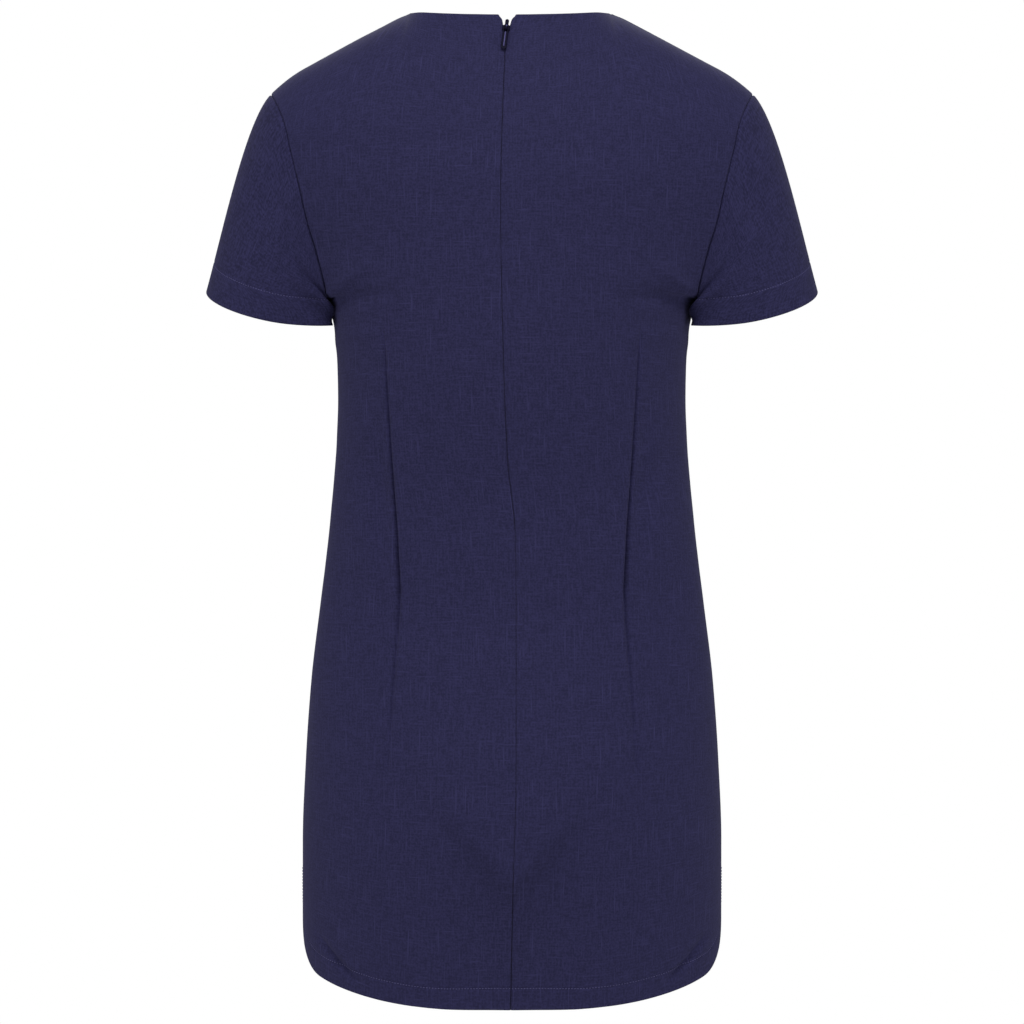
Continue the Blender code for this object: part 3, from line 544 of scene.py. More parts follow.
    def with_drift(self, points, turn):
        z = points[..., 2]
        points[..., 0] += self.middle_x(z) * (1 - turn / self.edge_turn(z))
        return points


def panel_grid(side, row_step):
    """Rows of points over a half panel from hem to neck, and their heights on the flat form."""
    free = YOKE_Z - HEM_Z - HEM_ROWS[-1]
    body = np.linspace(HEM_ROWS[-1], YOKE_Z - HEM_Z, int(free / row_step) + 1)[1:]
    middles = HEM_Z + np.concatenate([HEM_ROWS, body])
    sides = np.interp(middles, HEM_MIDDLES, HEM_SIDES)
    sides = np.where(middles > HEM_MIDDLES[-1], middles, sides)
    share = (sides - middles) / (HEM_SIDES[0] - HEM_MIDDLES[0])
    flat = np.repeat(middles[:, None], side.count, axis=1)
    z = flat + share[:, None] * side.hem_rise(side.column_turns(flat), flat)
    turns = side.column_turns(z)
    points = side.with_drift(side.at(turns, z), turns)
    foot = side.column_turns(np.full(side.count, YOKE_Z))
    steps = np.linspace(0.0, NECK_ROWS[0], int(YOKE_LENGTH / row_step))[1:]
    steps = np.concatenate([steps, NECK_ROWS[1:]])
    step = np.repeat(steps[:, None], side.count, axis=1)
    turn = np.repeat(foot[None, :], len(steps), axis=0)
    yoke = side.with_drift(side.on_yoke(turn, step), turn)
    return np.concatenate([points, yoke]), np.concatenate([z, np.full(step.shape, YOKE_Z)])


def open_slit(points):
    """Moves the cloth beside the centre seam off it by half the slit, fading outwards."""
    half = slit_half(points[:, :1, 2])
    away = np.abs(points[..., 0] - points[:, :1, 0])
    points[..., 0] += half * np.clip(1 - (away - SLIT_KEEP) / SLIT_FADE, 0.0, 1.0)


def facing_out(normals, away):
    """Unit normals, all turned round if on the whole they look inwards."""
    normals = normals / np.maximum(length_of(normals), 1e-12)
    return -normals if np.sum(normals * away) < 0 else normals


def normals_of(points, middles, ring=False):
    """Unit normals that look away from the middle point of each row."""
    along = np.gradient(points, axis=1)
    if ring:
        along = np.roll(points, -1, axis=1) - np.roll(points, 1, axis=1)
    return facing_out(np.cross(along, np.gradient(points, axis=0)), points - middles)


def edge_roll(distance, radius=FOLD):
    """How far cloth sinks as it turns in at a seam that is a distance away."""
    near = np.clip(radius - distance, 0.0, radius)
    return radius - np.sqrt(np.maximum(0.0, radius**2 - near**2))


# A crease or swelling of the cloth: a line from one point to another across the panel, its half
# width, its height (negative for a hollow), and how far its middle is bowed sideways.
Crease = namedtuple("Crease", "x0 z0 x1 z1 width height bow")
CREASE_END = 0.02          # share of its length from which a crease has some height
CREASE_FADE = 0.7          # lower keeps a crease's height nearer to its ends


def crease_heights(x, z, creases):
    """Sum of soft ridges and troughs at points x, z of a panel."""
    total = np.zeros(x.shape)
    for c in creases:
        dx, dz = c.x1 - c.x0, c.z1 - c.z0
        length = math.hypot(dx, dz)
        along = ((x - c.x0) * dx + (z - c.z0) * dz) / length**2
        aside = ((x - c.x0) * dz - (z - c.z0) * dx) / length
        t = np.clip(along, 0.0, 1.0)
        aside = aside - c.bow * 4 * t * (1 - t)
        past = np.maximum(0.0, np.abs(along - 0.5) - 0.5) * length
        fade = np.sin(np.pi * np.clip(t, CREASE_END, 1 - CREASE_END)) ** CREASE_FADE
        total += c.height * fade * np.exp(-(aside / c.width) ** 2 - (past / c.width) ** 2)
    return total


# A line across the panel below which the cloth drops inwards: how wide the drop is, how deep, and
# how far out from the middle it starts to die away and over what distance.
Fall = namedtuple("Fall", "x0 z0 x1 z1 width depth side_start side_width")


def fall_depths(x, z, falls):
    """How far the cloth has dropped in at points x, z of a panel."""
    total = np.zeros(x.shape)
    for f in falls:
        dx, dz = f.x1 - f.x0, f.z1 - f.z0
        below = ((z - f.z0) * dx - (x - f.x0) * dz) / math.hypot(dx, dz)
        side_fade = 1 - smooth_step((np.abs(x) - f.side_start) / f.side_width)
        total += f.depth * side_fade * smooth_step(below / f.width)
    return total


# Long soft forms of the backs: tucks under the arm, the waist, the seat, the hem's corner, the
# end of the dart and the end of the zip.
BACK_CREASES = rows_of(Crease, (
    (0.152, -0.236, 0.104, -0.206, 0.005, 0.002, 0.003),
    (0.15, -0.24, 0.088, -0.232, 0.006, -0.002, 0.004),
    (0.144, -0.266, 0.1, -0.262, 0.006, 0.0012, 0.003),
    (0.132, -0.35, 0.1, -0.395, 0.01, -0.0022, 0.004),
    (0.106, -0.316, 0.098, -0.455, 0.0075, -0.003, 0.0),
    (0.136, -0.4, 0.098, -0.44, 0.012, 0.0012, 0.003),
    (0.14, -0.45, 0.096, -0.47, 0.013, -0.0012, -0.004),
    (0.086, -0.432, 0.08, -0.48, 0.006, -0.0012, 0.002),
    (0.022, -0.01, 0.03, -0.23, 0.009, 0.0007, 0.002),
    (0.052, -0.02, 0.046, -0.19, 0.008, -0.0006, 0.002),
    (0.124, -0.06, 0.136, -0.19, 0.011, -0.0012, -0.004),
    (0.084, -0.585, 0.012, -0.662, 0.024, 0.0022, 0.008),
    (0.04, -0.5, 0.03, -0.59, 0.015, -0.001, 0.004),
    (0.1525, -0.7315, 0.118, -0.766, 0.0026, -0.0036, -0.003),
    (0.0962, -0.582, 0.0968, -0.604, 0.0022, -0.0018, 0.0),
    (0.0, -0.412, 0.01, -0.4128, 0.0026, -0.0009, 0.0),
))
BACK_FALLS = rows_of(Fall, (
    (0.082, -0.59, 0.0, -0.682, 0.02, 0.0056, 0.016, 0.066),
    (0.082, -0.592, 0.0, -0.684, 0.05, 0.0066, 0.006, 0.06),
    (0.082, -0.594, 0.0, -0.684, 0.085, 0.0056, 0.012, 0.095),
))
# How deeply the two backs turn in along the centre seam: sharply behind the zip and below the seat,
# hardly at all where the seam is pressed open between them.
SEAM_ROLLS = rows_of(Mark, (
    (-0.786, 0.0021), (-0.69, 0.0019), (-0.672, 0.0006), (-0.425, 0.0005),
    (-0.41, 0.0013), (-0.38, 0.0014), (-0.24, 0.0008), (-0.12, 0.0009),
    (-0.01, 0.0012),
))
ARMHOLE_ROLL = 0.0017
SEAM_REACH = 0.030         # nearer the centre seam than this, creases keep their distance from it
HEM_STITCH_SINK = 0.0005
seam_roll = curve_through(SEAM_ROLLS, "value")


def flat_lengths(points):
    """Distance along each row from its start, and along each column from its foot."""
    steps = length_of(np.diff(points, axis=1))[..., 0]
    across = np.concatenate([np.zeros((len(points), 1)), np.cumsum(steps, axis=1)], axis=1)
    steps = length_of(np.diff(points, axis=0))[..., 0]
    middle = len(points[0]) // 3
    along = np.concatenate([[0.0], np.cumsum(steps[:, middle])])
    return across, np.repeat(along[:, None], points.shape[1], axis=1)


def with_turned_edge(points, normals, maps, rows_turned, at_start):
    """Folds a panel's first or last rows inwards and carries the cloth back as a second layer.

    rows_turned is how many rows the second layer covers. The row beside the edge lies one fold
    radius from it.
    """
    if not at_start:
        points, normals, maps = points[::-1], normals[::-1], maps[::-1]
    inner = points[1:rows_turned] - normals[1:rows_turned] * 2 * FOLD
    up = unit(points[1] - points[0])
    arc = [points[1] - up * FOLD * math.sin(a) - normals[1] * FOLD * (1 - math.cos(a))
           for a in map(math.radians, TURN_DEGREES)]
    arc_maps = np.repeat(maps[:1], len(arc), axis=0)
    turned = np.concatenate([inner[::-1], arc, points[1:]])
    turned_maps = np.concatenate([maps[1:rows_turned][::-1], arc_maps, maps[1:]])
    if not at_start:
        turned, turned_maps = turned[::-1], turned_maps[::-1]
    return turned, turned_maps


LEVEL = (1.0, 1.0, 0.0)     # keeps of a direction what runs level


def cloth_piece(name, points, maps, material, node, ring=False):
    """A sheet of cloth through a grid of points, with its flat map in metres, for a CAD node."""
    rows, cols = points.shape[:2]
    bm = bmesh.new()
    bmesh.ops.create_grid(bm, x_segments=cols - 1, y_segments=rows - 1, size=0.5)
    row_of = bm.verts.layers.int.new("row")
    col_of = bm.verts.layers.int.new("col")
    for vert in bm.verts:
        col = round((vert.co.x + 0.5) * (cols - 1))
        row = round((vert.co.y + 0.5) * (rows - 1))
        vert[row_of], vert[col_of] = row, col
        vert.co = points[row, col]
    flat_map = bm.loops.layers.uv.new("cloth_metres")
    for face in bm.faces:
        for loop in face.loops:
            loop[flat_map].uv = maps[loop.vert[row_of], loop.vert[col_of]]
    bm.normal_update()
    middle = Vector(points.mean(axis=(0, 1)) if ring else (0.0, 0.0, 0.0))
    outward = sum(face.normal.dot((face.calc_center_median() - middle) * Vector(LEVEL))
                  * face.calc_area() for face in bm.faces)
    if outward < 0:
        bmesh.ops.reverse_faces(bm, faces=bm.faces)
    made = scene_object(bm, name, material)
    wall = made.modifiers.new("cloth", "SOLIDIFY")
    wall.thickness = CLOTH
    wall.offset = -1.0
    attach(made, "tunic")
    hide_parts(node)
    return made


def finished_panel(side, row_step, creases, falls=()):
    """Points and flat map of a half panel with its seams turned in, its dart and its creases."""
    points, form_z = panel_grid(side, row_step)
    if side.is_back:
        open_slit(points)
    maps = np.stack(flat_lengths(points), axis=-1)
    axis = np.zeros(points.shape)
    axis[..., 2] = points[..., 2]
    normals = normals_of(points, axis)
    sink = np.zeros(points.shape[:2])
    start = len(side.columns.seam) + side.columns.to_dart
    dart = np.s_[:, start:start + len(DART_COLUMNS)]
    away = np.abs(DART_COLUMNS)
    sink[dart] += side.dart_depth(form_z[dart]) * np.exp(-(away / DART_SOFTNESS) ** 2)
    sink[dart] += side.dart_fold(form_z[dart]) * np.maximum(0.0, 1 - away / DART_FOLD_REACH)
    edge = np.s_[:, -len(EDGE_COLUMNS):]
    sink[edge] += np.where(points[..., 2][edge] > ARMPIT_Z, edge_roll(EDGE_COLUMNS, ARMHOLE_ROLL),
                           edge_roll(EDGE_COLUMNS))
    if side.is_back:
        seam = np.s_[:, :len(side.columns.seam)]
        sink[seam] += edge_roll(np.array(side.columns.seam), seam_roll(points[..., 2][seam]))
    sink[HEM_STITCH_ROW] += HEM_STITCH_SINK
    from_seam = points[..., 0] - points[:, :1, 0]
    x = points[..., 0] - points[:, :1, 0] * np.clip(1 - from_seam / SEAM_REACH, 0.0, 1.0)
    sink -= crease_heights(x, points[..., 2], creases)
    sink += fall_depths(x, points[..., 2], falls)
    points = points - normals * sink[..., None]
    points, maps = with_turned_edge(points, normals, maps, HEM_ROWS_TURNED, True)
    pad = len(points) - len(normals)
    normals = np.concatenate([np.repeat(normals[:1], pad, axis=0), normals])
    return with_turned_edge(points, normals, maps, NECK_ROWS_TURNED, False)


BACK_COLUMNS = Columns(SEAM_COLUMNS, 35, 40)
BACK_ROW_STEP = 0.0026
SIDES = ((-1, "left"), (1, "right"))
back_grids = {}
for hand, side_name in SIDES:
    back_side = BodySide("back", hand, BACK_COLUMNS)
    back_points, back_maps = finished_panel(back_side, BACK_ROW_STEP, BACK_CREASES, BACK_FALLS)
    back_points[..., 0] *= hand
    back_maps[..., 0] *= hand
    back_grids[hand] = back_points
    node = "back_" + side_name
    back = cloth_piece(node + "_cloth", back_points, back_maps, navy_cloth, node)

# ---- the front
# One piece of the same cloth, which the photo doesn't show: a plain round neckline and two plain
# fisheye darts, with the hem and vents of the backs.
FRONT_COLUMNS = Columns((0.0,), 29, 32)
FRONT_ROW_STEP = 0.0036
FRONT_CREASES = rows_of(Crease, (
    (0.148, -0.236, 0.098, -0.205, 0.006, 0.0015, 0.003),
    (0.144, -0.252, 0.086, -0.24, 0.007, -0.0014, 0.004),
    (0.132, -0.372, 0.092, -0.42, 0.011, -0.0016, 0.004),
    (0.138, -0.43, 0.094, -0.462, 0.012, 0.0012, -0.003),
    (0.06, -0.56, 0.045, -0.74, 0.024, -0.0016, 0.006),
))


def both_halves(half):
    """A grid right across the front, from its right half, whose first column is the middle."""
    other = half[:, :0:-1].copy()
    other[..., 0] *= -1
    return np.concatenate([other, half], axis=1)


front_side = BodySide("front", 1, FRONT_COLUMNS)
half_points, half_maps = finished_panel(front_side, FRONT_ROW_STEP, FRONT_CREASES)
front_points, front_maps = both_halves(half_points), both_halves(half_maps)
front_cloth = cloth_piece("front_cloth", front_points, front_maps, navy_cloth, "front")

# ---- the sleeves
# Short set-in sleeves of the same cloth, each one piece closed by a seam under the arm. The cuff
# is turned up about 21 mm and stitched.
CUFF_CENTRE = (0.1952, 0.0120, -0.2342)
CUFF_HALF_WIDTH = 0.0516
CUFF_HALF_DEPTH = 0.0540
CUFF_LEAN = 12.2           # degrees that the cuff's opening tips, out to the side
CUFF_PITCH = 16.0          # and from back to front
CUFF_ALLOWANCE = 0.0208
CUFF_SLANT = 0.0020        # how much wider the turned cuff is outside than under the arm
# Directions in which the cloth leaves the armhole and reaches the cuff.
LEAVE_TOP = (0.68, 0.0, -0.72)
LEAVE_BACK = (0.80, 0.22, -0.72)
LEAVE_UNDER = (0.25, 0.0, -0.97)
REACH_TOP = (0.27, 0.08, -0.96)
LEAVE_PULL = 0.52
SLEEVE_COLUMNS = 150
UNDERARM_SQUARE = 6.0      # 2 is an oval, more is squarer, behind the underarm at the cuff
UNDERARM_PULL = (1.68, 1.0, 0.0)       # how far the cuff's corner there follows that square
UNDERARM_DROP = 0.00112    # and how far it hangs
UNDERARM_ROLL = 0.0012
ARMHOLE_ALLOWANCE = (0.0080, 0.0055, 0.0035, 0.0020, 0.0009)
ARMHOLE_TUCK = 0.0026      # how far below the body's outer face the allowance lies
TUCK_REACH = 0.002
# Rows of a sleeve: shares of the way from the armhole to the stitching, then distances from the
# cuff's edge.
SLEEVE_ROWS = (0.0, 0.0016, 0.004, 0.008, 0.014, 0.022, *np.linspace(0.035, 1.0, 60))
CUFF_ROWS = (0.0205, 0.018, 0.0155, 0.013, 0.0105, 0.008, 0.0055, 0.0035, 0.002, FOLD, 0.0)
CUFF_ROWS_TURNED = len(CUFF_ROWS)
SLEEVE_MAP_SHIFT = (0.31, 0.17)        # so that no two pieces show the same slubs


def armhole_line(face):
    """The armhole seam from the armpit up to the shoulder tip, and the body's normals along it.

    Its points lie closer together towards the armpit.
    """
    side = BodySide(face, 1, BACK_COLUMNS)
    nudge = 0.002
    z = ARMPIT_Z + (YOKE_Z - ARMPIT_Z) * np.linspace(0.0, 1.0, 90) ** 1.6
    edge = side.edge_turn(z)
    below = side.at(edge, z)
    round_body = below - side.at(edge - nudge, z)
    up_body = side.at(edge - nudge, z + nudge) - side.at(edge - nudge, z)
    step = np.linspace(0.0, 1.0, 24)[1:]
    foot = np.repeat(edge[-1:], len(step))
    above = side.on_yoke(foot, step)
    round_yoke = above - side.on_yoke(foot - nudge, step)
    up_yoke = above - side.on_yoke(foot, step - nudge)
    normals = np.cross(np.concatenate([round_body, round_yoke]), np.concatenate([up_body, up_yoke]))
    return np.concatenate([np.concatenate([below, above]), unit(normals) * -side.outward], axis=1)


def resampled(line, count):
    """Rows at equal distances along a line, whose first three columns are its points."""
    lengths = np.concatenate([[0.0], np.cumsum(length_of(np.diff(line[:, :3], axis=0))[:, 0])])
    wanted = np.linspace(0.0, lengths[-1], count)
    return np.stack([np.interp(wanted, lengths, line[:, k]) for k in range(line.shape[1])], axis=-1)


def sleeve_grid():
    """The right sleeve's points from the armhole to the cuff, from the underarm round the front.

    The first rows are its seam allowance, which lies inside the body along the armhole.
    """
    half = SLEEVE_COLUMNS // 2
    front_line = resampled(armhole_line("front"), half + 1)
    back_line = resampled(armhole_line("back"), half + 1)
    ring = np.concatenate([front_line, back_line[::-1][1:]])
    start, body_out = ring[:, :3], ring[:, 3:]
    body_out[0] = body_out[-1] = (1.0, 0.0, 0.0)
    onwards = np.gradient(start, axis=0)
    onwards[0] = onwards[-1] = start[1] - start[-2]
    into_body = unit(np.cross(body_out, onwards))
    into_body *= -np.sign(into_body[half, 0])
    rows = [start + into_body * d - body_out * (ARMHOLE_TUCK * min(1.0, d / TUCK_REACH))
            for d in ARMHOLE_ALLOWANCE]
    around = np.linspace(math.pi, -math.pi, SLEEVE_COLUMNS + 1)
    lean, pitch = math.radians(CUFF_LEAN), math.radians(CUFF_PITCH)
    outwards = np.array((math.cos(lean), 0.0, math.sin(lean)))
    backwards = np.array((0.0, -math.cos(pitch), -math.sin(pitch)))
    down = unit(np.cross(outwards, backwards))
    cosine, sine = np.cos(around)[:, None], -np.sin(around)[:, None]
    oval = outwards * CUFF_HALF_WIDTH * cosine + backwards * CUFF_HALF_DEPTH * sine
    square = np.abs(cosine) ** UNDERARM_SQUARE + np.abs(sine) ** UNDERARM_SQUARE
    behind = (sine > 0.0) & (cosine < 0.0)
    end = np.array(CUFF_CENTRE) + oval
    end += np.where(behind, square ** (-1 / UNDERARM_SQUARE) - 1, 0.0) * oval * UNDERARM_PULL
    corner = np.where(behind, (2 * cosine * sine) ** 2 * np.abs(cosine), 0.0)
    end[:, 2] -= UNDERARM_DROP * corner[:, 0]
    under = (1 - cosine) / 2
    leave = np.array(LEAVE_TOP) * (1 - sine**2) + np.array(LEAVE_BACK) * sine**2
    leave[:, 1] = LEAVE_BACK[1] * sine[:, 0]
    leave = leave * (1 - under**3) + np.array(LEAVE_UNDER) * under**3
    arrive = down * under + np.array(REACH_TOP) * (1 - under)
    reach = length_of(end - start)
    leave = unit(leave) * reach * LEAVE_PULL
    arrive = unit(arrive) * reach
    stitch = 1 - (CUFF_ALLOWANCE + CUFF_SLANT * cosine) / reach
    shares = [share * stitch for share in SLEEVE_ROWS]
    shares += [1 - (1 - stitch) * d / CUFF_ALLOWANCE for d in CUFF_ROWS]
    return np.array(rows + [hermite(start, leave, end, arrive, share) for share in shares])


CUFF_STITCH_ROW = len(SLEEVE_ROWS) - 1     # row on the stitched line, counted from the armhole
# Creases of the sleeve, as metres round from the underarm seam, towards the back, and metres down
# from the armhole. Those behind the arm spread from the foot of the armhole.
SLEEVE_CREASES = rows_of(Crease, (
    (-0.004, 0.006, 0.082, -0.034, 0.0038, -0.003, 0.003),
    (-0.004, 0.002, 0.078, -0.044, 0.004, 0.0022, 0.002),
    (-0.004, -0.002, 0.07, -0.054, 0.004, -0.003, 0.002),
    (-0.004, -0.008, 0.058, -0.062, 0.0046, -0.0016, 0.002),
    (-0.01, 0.004, -0.07, -0.044, 0.006, -0.0016, 0.004),
    (0.1, -0.012, 0.128, -0.066, 0.009, -0.0012, 0.004),
    (0.14, -0.03, 0.15, -0.11, 0.012, 0.001, 0.0),
    (-0.11, -0.02, -0.13, -0.09, 0.012, -0.001, 0.004),
))


def finished_sleeve():
    """Points and flat map of the right sleeve with its seams turned in, its creases and its cuff."""
    grid = sleeve_grid()
    maps = np.stack(flat_lengths(grid), axis=-1)
    scale = maps[-1:, -1:, 0] / np.maximum(maps[:, -1:, 0], 1e-9)
    maps[..., 0] *= np.minimum(scale, 1.0)
    middles = np.repeat(grid.mean(axis=1)[:, None], grid.shape[1], axis=1)
    normals = normals_of(grid[:, :-1], middles[:, :-1], ring=True)
    normals = np.concatenate([normals, normals[:, :1]], axis=1)
    tucked = len(ARMHOLE_ALLOWANCE)
    from_top = length_of(grid - grid[tucked:tucked + 1])[..., 0]
    sink = edge_roll(from_top, ARMHOLE_ROLL)
    sink[:tucked] = 0.0
    sink[tucked + CUFF_STITCH_ROW] += HEM_STITCH_SINK
    across, rest = maps[..., 0], maps[:, -1:, 0] - maps[..., 0]
    sink[tucked:] += edge_roll(np.minimum(across, rest)[tucked:], UNDERARM_ROLL)
    round_back = np.where(rest < across, rest, -across)
    sink[tucked:] -= crease_heights(round_back[tucked:], -from_top[tucked:], SLEEVE_CREASES)
    points = grid - normals * sink[..., None]
    return with_turned_edge(points, normals, maps, CUFF_ROWS_TURNED, False)


sleeve_points, sleeve_maps = finished_sleeve()
sleeve_grids = {hand: sleeve_points * (hand, 1.0, 1.0) for hand, _ in SIDES}
for hand, side_name in SIDES:
    node = "sleeve_" + side_name
    moved_maps = sleeve_maps + np.array(SLEEVE_MAP_SHIFT) * (hand, 1.0)
    sleeve = cloth_piece(node + "_cloth", sleeve_grids[hand], moved_maps, sleeve_navy, node, ring=True)

# ---- the sewing
# The hems, cuffs and side vents are sewn with a lockstitch in navy thread a little paler than the
# cloth. Each stitch is a short raised bead of thread that lies in a shallow groove.
thread, thread_tree, thread_shader = new_material("sewing_thread", Roughness=0.62,
                                                  Specular_IOR_Level=0.3)
thread_place = add_node(thread_tree, "TexCoord").outputs["Object"]
thread_twist = add_node(thread_tree, "TexNoise", Vector=thread_place, Scale=900.0)
thread_tone = two_tone(thread_tree, thread_twist.outputs["Fac"], (0.074, 0.070, 0.178),
                       (0.120, 0.114, 0.262))
fill_named(thread_tree, thread_shader, Base_Color=thread_tone)

STITCH_PITCH = 0.0023
STITCH_HALF_LENGTH = 0.00075
STITCH_RADIUS = 0.00032
STITCH_PROUD = 0.3         # share of its radius by which a stitch's middle stands off the cloth
ROWS_ADDED = HEM_ROWS_TURNED + len(TURN_DEGREES) - 2   # in front of a panel's own, by its hem


def row_with_normals(grid, row, first=0, last=None):
    """A row of a cloth grid with the outward normals along it, as six columns."""
    line = grid[row]
    normals = np.cross(np.gradient(line, axis=0), grid[row + 1] - grid[row - 1])
    normals = facing_out(normals, (line - line.mean(axis=0)) * LEVEL)
    return np.concatenate([line, normals], axis=1)[first:last]


def column_with_normals(grid, column, low, high):
    """The part of a column between two heights, outside its turned hem, in the same form."""
    rows = [k for k in range(ROWS_ADDED + 1, len(grid)) if low < grid[k, column, 2] < high]
    line = grid[rows, column]
    normals = np.cross(np.gradient(line, axis=0), grid[rows, column + 1] - grid[rows, column - 1])
    return np.concatenate([line, facing_out(normals, line * LEVEL)], axis=1)


def sewn_lines(name, lines):
    """Stitches at an even pitch along lines, in one piece."""
    bm = bmesh.new()
    size = Matrix.Diagonal((STITCH_HALF_LENGTH, STITCH_RADIUS, STITCH_RADIUS, 1.0))
    for line in lines:
        total = float(np.sum(length_of(np.diff(line[:, :3], axis=0))))
        line = resampled(line, int(total / STITCH_PITCH) + 1)
        for before, at, after in zip(line, line[1:], line[2:]):
            along = Vector(after[:3] - before[:3]).normalized()
            out = Vector(at[3:]).normalized()
            across = out.cross(along).normalized()
            turn = Matrix((along, across, out)).transposed().to_4x4()
            place = Matrix.Translation(Vector(at[:3]) + out * STITCH_RADIUS * STITCH_PROUD)
            bmesh.ops.create_uvsphere(bm, u_segments=6, v_segments=4, radius=1.0,
                                      matrix=place @ turn @ size)
    made = scene_object(bm, name, thread)
    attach(made, "tunic")


HEM_LINE_ROW = ROWS_ADDED + HEM_STITCH_ROW
VENT_COLUMN = -len(EDGE_COLUMNS)
VENT_STITCHES = (-0.713, -0.681)
for hand, side_name in SIDES:
    grid = back_grids[hand]
    sewn_lines("back_" + side_name + "_stitches",
               [row_with_normals(grid, HEM_LINE_ROW, 0, VENT_COLUMN),
                column_with_normals(grid, VENT_COLUMN, *VENT_STITCHES)])
front_end = front_points.shape[1] + VENT_COLUMN
sewn_lines("front_stitches",
           [row_with_normals(front_points, HEM_LINE_ROW, -VENT_COLUMN, VENT_COLUMN),
            column_with_normals(front_points, front_end, *VENT_STITCHES),
            column_with_normals(front_points, -VENT_COLUMN - 1, *VENT_STITCHES)])
cuff_row = len(ARMHOLE_ALLOWANCE) + CUFF_STITCH_ROW
for hand, side_name in SIDES:
    sewn_lines("sleeve_" + side_name + "_stitches", [row_with_normals(sleeve_grids[hand], cuff_row)])

# ---- the zip
# A concealed zip of navy nylon coil on woven tapes, behind the centre back slit. The slider and
# its pull tab are cast metal, stoved with navy lacquer. A paler lacquer on the tab's rib and on the
# slider's bridge is a painted highlight, where they would catch the light.


def lacquer_wear_group():
    """Mask of uneven patches, on Object coordinates: wear on the navy lacquer and the coil, and paler
    spots in the painted highlight's lacquer.
    """
    group, entry, leave = new_group("lacquer_wear", ("Wear",), ("Amount",))
    patches = add_node(group, "TexNoise", Vector=entry.outputs["Vector"], Scale=700.0, Detail=3.0)
    fill_named(group, leave, Wear=maths(group, "MULTIPLY", patches.outputs["Fac"],
                                        entry.outputs["Amount"]))
    return group


lacquer_wear = lacquer_wear_group()
WORN_ROUGHER = 0.15


def lacquer_material(name, colour, patch_colour, amount, roughness):
    material, tree, shader = new_material(name, Specular_IOR_Level=0.03, Coat_Weight=0.01,
                                          Coat_Roughness=0.25)
    place = add_node(tree, "TexCoord").outputs["Object"]
    wear = add_group(tree, lacquer_wear, Vector=place, Amount=amount)
    tone = two_tone(tree, wear.outputs["Wear"], colour, patch_colour)
    gloss = add_node(tree, "MapRange", Value=wear.outputs["Wear"], To_Min=roughness,
                     To_Max=roughness + WORN_ROUGHER)
    fill_named(tree, shader, Base_Color=tone, Roughness=gloss.outputs["Result"])
    return material


navy_lacquer = lacquer_material("navy_lacquer", (0.0045, 0.0042, 0.0150), (0.011, 0.010, 0.034),
                                0.6, 0.42)
# A pale lacquer that is a painted highlight: it stands in for the light caught by the tab's rib and
# the slider's bridge.
highlight_lacquer = lacquer_material("highlight_lacquer", (0.078, 0.073, 0.205), (0.125, 0.117, 0.290),
                                0.9, 0.36)


def bevelled_copy(node, name, body, width):
    """The CAD node's own shape with its doubles merged and its edges eased by a width."""
    bm = bmesh.new()
    bm.from_mesh(frame["nodes"][node].data)
    bmesh.ops.remove_doubles(bm, verts=bm.verts, dist=0.00001)
    bmesh.ops.dissolve_limit(bm, angle_limit=math.radians(3.0), verts=bm.verts, edges=bm.edges)
    made = scene_object(bm, name, navy_lacquer)
    eased = made.modifiers.new("eased", "BEVEL")
    eased.width = width
    eased.segments = 3
    eased.limit_method = "ANGLE"
    eased.angle_limit = math.radians(28.0)
    eased.harden_normals = True
    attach(made, body)
    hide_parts(node)


bevelled_copy("zip_slider", "slider_lacquered", "tunic", 0.00022)
bevelled_copy("zip_pull", "pull_tab_lacquered", "pull_tab", 0.00028)

# Places on the slider: X across the slit, -Y out of the cloth and Z up along it, from the tab's
# hinge and from a point below it in the plane of the cloth.
HINGE_DROP = 0.0022
HINGE_OUT = 0.0026
TAB_THICKNESS = 0.0009
hinge = frame["joints"][0]
hinge_across = -Vector(hinge["axis"])
hinge_up = -Vector((0.0, hinge_across.y, hinge_across.z)).normalized()
hinge_into = hinge_up.cross(Vector((1.0, 0.0, 0.0)))
hinge_turn = Matrix((hinge_across, hinge_into, hinge_across.cross(hinge_into))).transposed().to_4x4()
hinge_place = Matrix.Translation(Vector(hinge["pos_m"])) @ hinge_turn
zip_place = hinge_place @ Matrix.Translation((0.0, HINGE_OUT, HINGE_DROP))


def lacquer_bead(name, where, place, size, straight, material, body):
    """A small rounded swelling of the casting, with a straight length between its ends."""
    bm = bmesh.new()
    bmesh.ops.create_uvsphere(bm, u_segments=20, v_segments=15, radius=1.0,
                              matrix=Matrix.Diagonal((*size, 1.0)))
    upper = [vert for vert in bm.verts if vert.co.z > 0.0]
    bmesh.ops.translate(bm, verts=upper, vec=(0.0, 0.0, straight))
    bmesh.ops.translate(bm, verts=bm.verts, vec=(0.0, 0.0, -straight / 2))
    bmesh.ops.transform(bm, matrix=where @ Matrix.Translation(place), verts=bm.verts)
    made = scene_object(bm, name, material)
    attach(made, body)


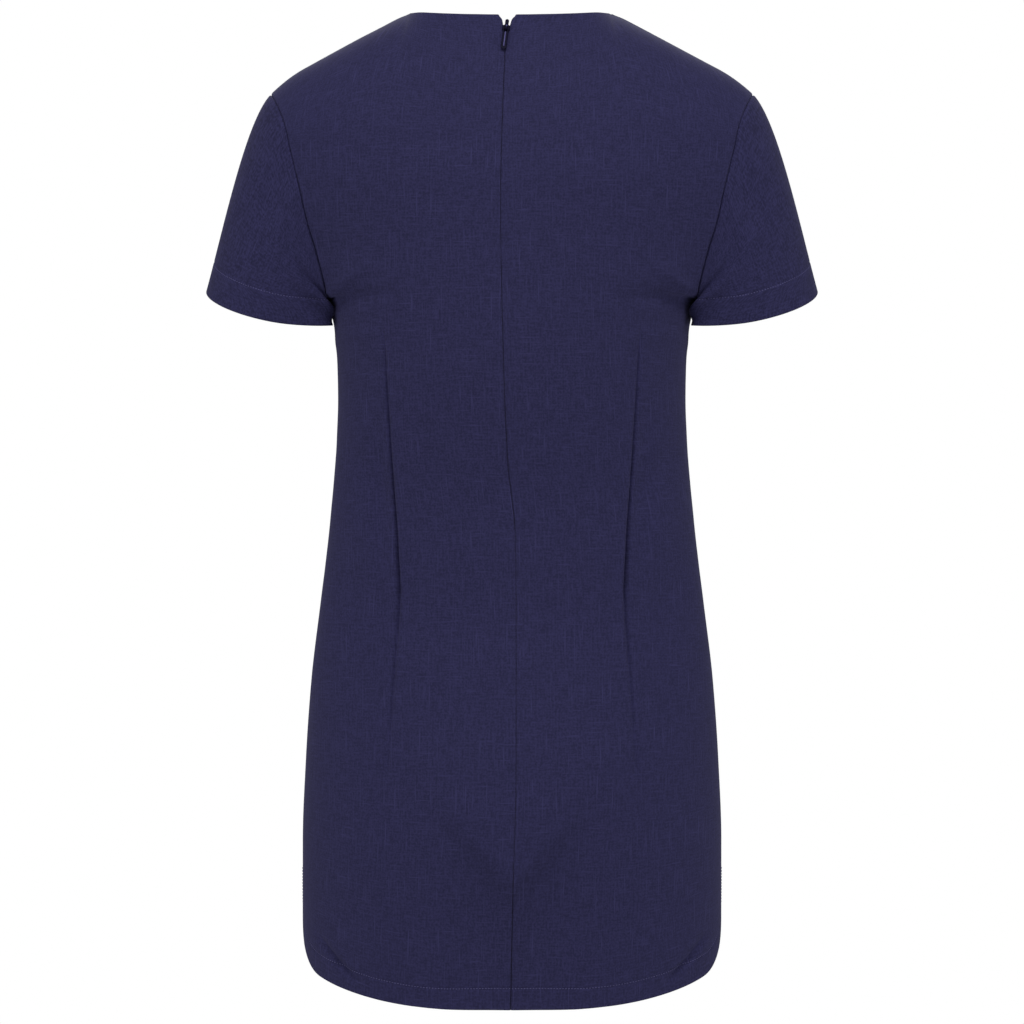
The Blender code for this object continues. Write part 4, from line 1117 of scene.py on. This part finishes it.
lacquer_bead("slider_loop", zip_place, (0.0, -0.0011, 0.0046), (0.0015, 0.0007, 0.0014), 0.0024,
             navy_lacquer, "tunic")
for hand, side_name in SIDES:
    lacquer_bead("slider_crown_" + side_name, zip_place, (0.0019 * hand, -0.0017, -0.0012),
                 (0.0012, 0.0008, 0.0014), 0.0022, navy_lacquer, "tunic")
# A small pale bead on the slider's bridge: a painted highlight where the bridge catches the light.
lacquer_bead("slider_bridge_highlight", zip_place, (0.0002, -0.0021, 0.0004), (0.0006, 0.0003, 0.0007),
             0.0010, highlight_lacquer, "tunic")
# A low rib down the pull tab in the pale lacquer: a painted highlight along the tab's middle.
lacquer_bead("pull_tab_highlight_rib", hinge_place, (0.0, -TAB_THICKNESS / 2, -0.0100),
             (0.00045, 0.00032, 0.0008), 0.0118, highlight_lacquer, "pull_tab")

# Nylon coil: a bead for each turn, in two rows that mesh along the middle of the chain.
COIL_PITCH = 0.0015
COIL_ASIDE = 0.0009
COIL_BEAD = (0.0014, 0.0007, 0.0006)
CHAIN_VERTS_NEAR = 12      # how many of the chain's points give its middle at a height
coil_nylon = lacquer_material("coil_nylon", (0.018, 0.017, 0.046), (0.030, 0.028, 0.070), 0.7, 0.45)
chain_low, chain_high = (corner[2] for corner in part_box("zip_chain"))
chain_points = np.array([v.co for v in frame["nodes"]["zip_chain"].data.vertices])
coil = bmesh.new()
for k in range(int((chain_high - chain_low) / COIL_PITCH)):
    z = chain_high - COIL_PITCH * (k + 0.5)
    near = chain_points[np.argsort(np.abs(chain_points[:, 2] - z))[:CHAIN_VERTS_NEAR]]
    x, y = near[:, 0].mean(), near[:, 1].mean()
    aside = COIL_ASIDE if k % 2 else -COIL_ASIDE
    place = Matrix.Translation((x + aside, y, z)) @ Matrix.Diagonal((*COIL_BEAD, 1.0))
    bmesh.ops.create_uvsphere(coil, u_segments=6, v_segments=4, radius=1.0, matrix=place)
zip_coil = scene_object(coil, "zip_coil", coil_nylon)
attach(zip_coil, "tunic")
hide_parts("zip_chain")

# Woven tape: a fine herringbone of ribs along it.
tape_weave, tape_tree, tape_shader = new_material("tape_weave", Roughness=0.82,
                                                  Specular_IOR_Level=0.2)
ribs = add_node(tape_tree, "TexWave", Vector=add_node(tape_tree, "TexCoord").outputs["Object"],
                Scale=420.0, Distortion=1.5)
ribs.wave_type = "BANDS"
ribs.bands_direction = "DIAGONAL"
tape_tone = two_tone(tape_tree, ribs.outputs["Fac"], (0.016, 0.015, 0.044), (0.028, 0.026, 0.072))
fill_named(tape_tree, tape_shader, Base_Color=tape_tone,
           Normal=relief(tape_tree, ribs.outputs["Fac"], 0.4, 0.0002))
for _, side_name in SIDES:
    for place in frame["nodes"]["zip_tape_" + side_name].material_slots:
        place.material = tape_weave
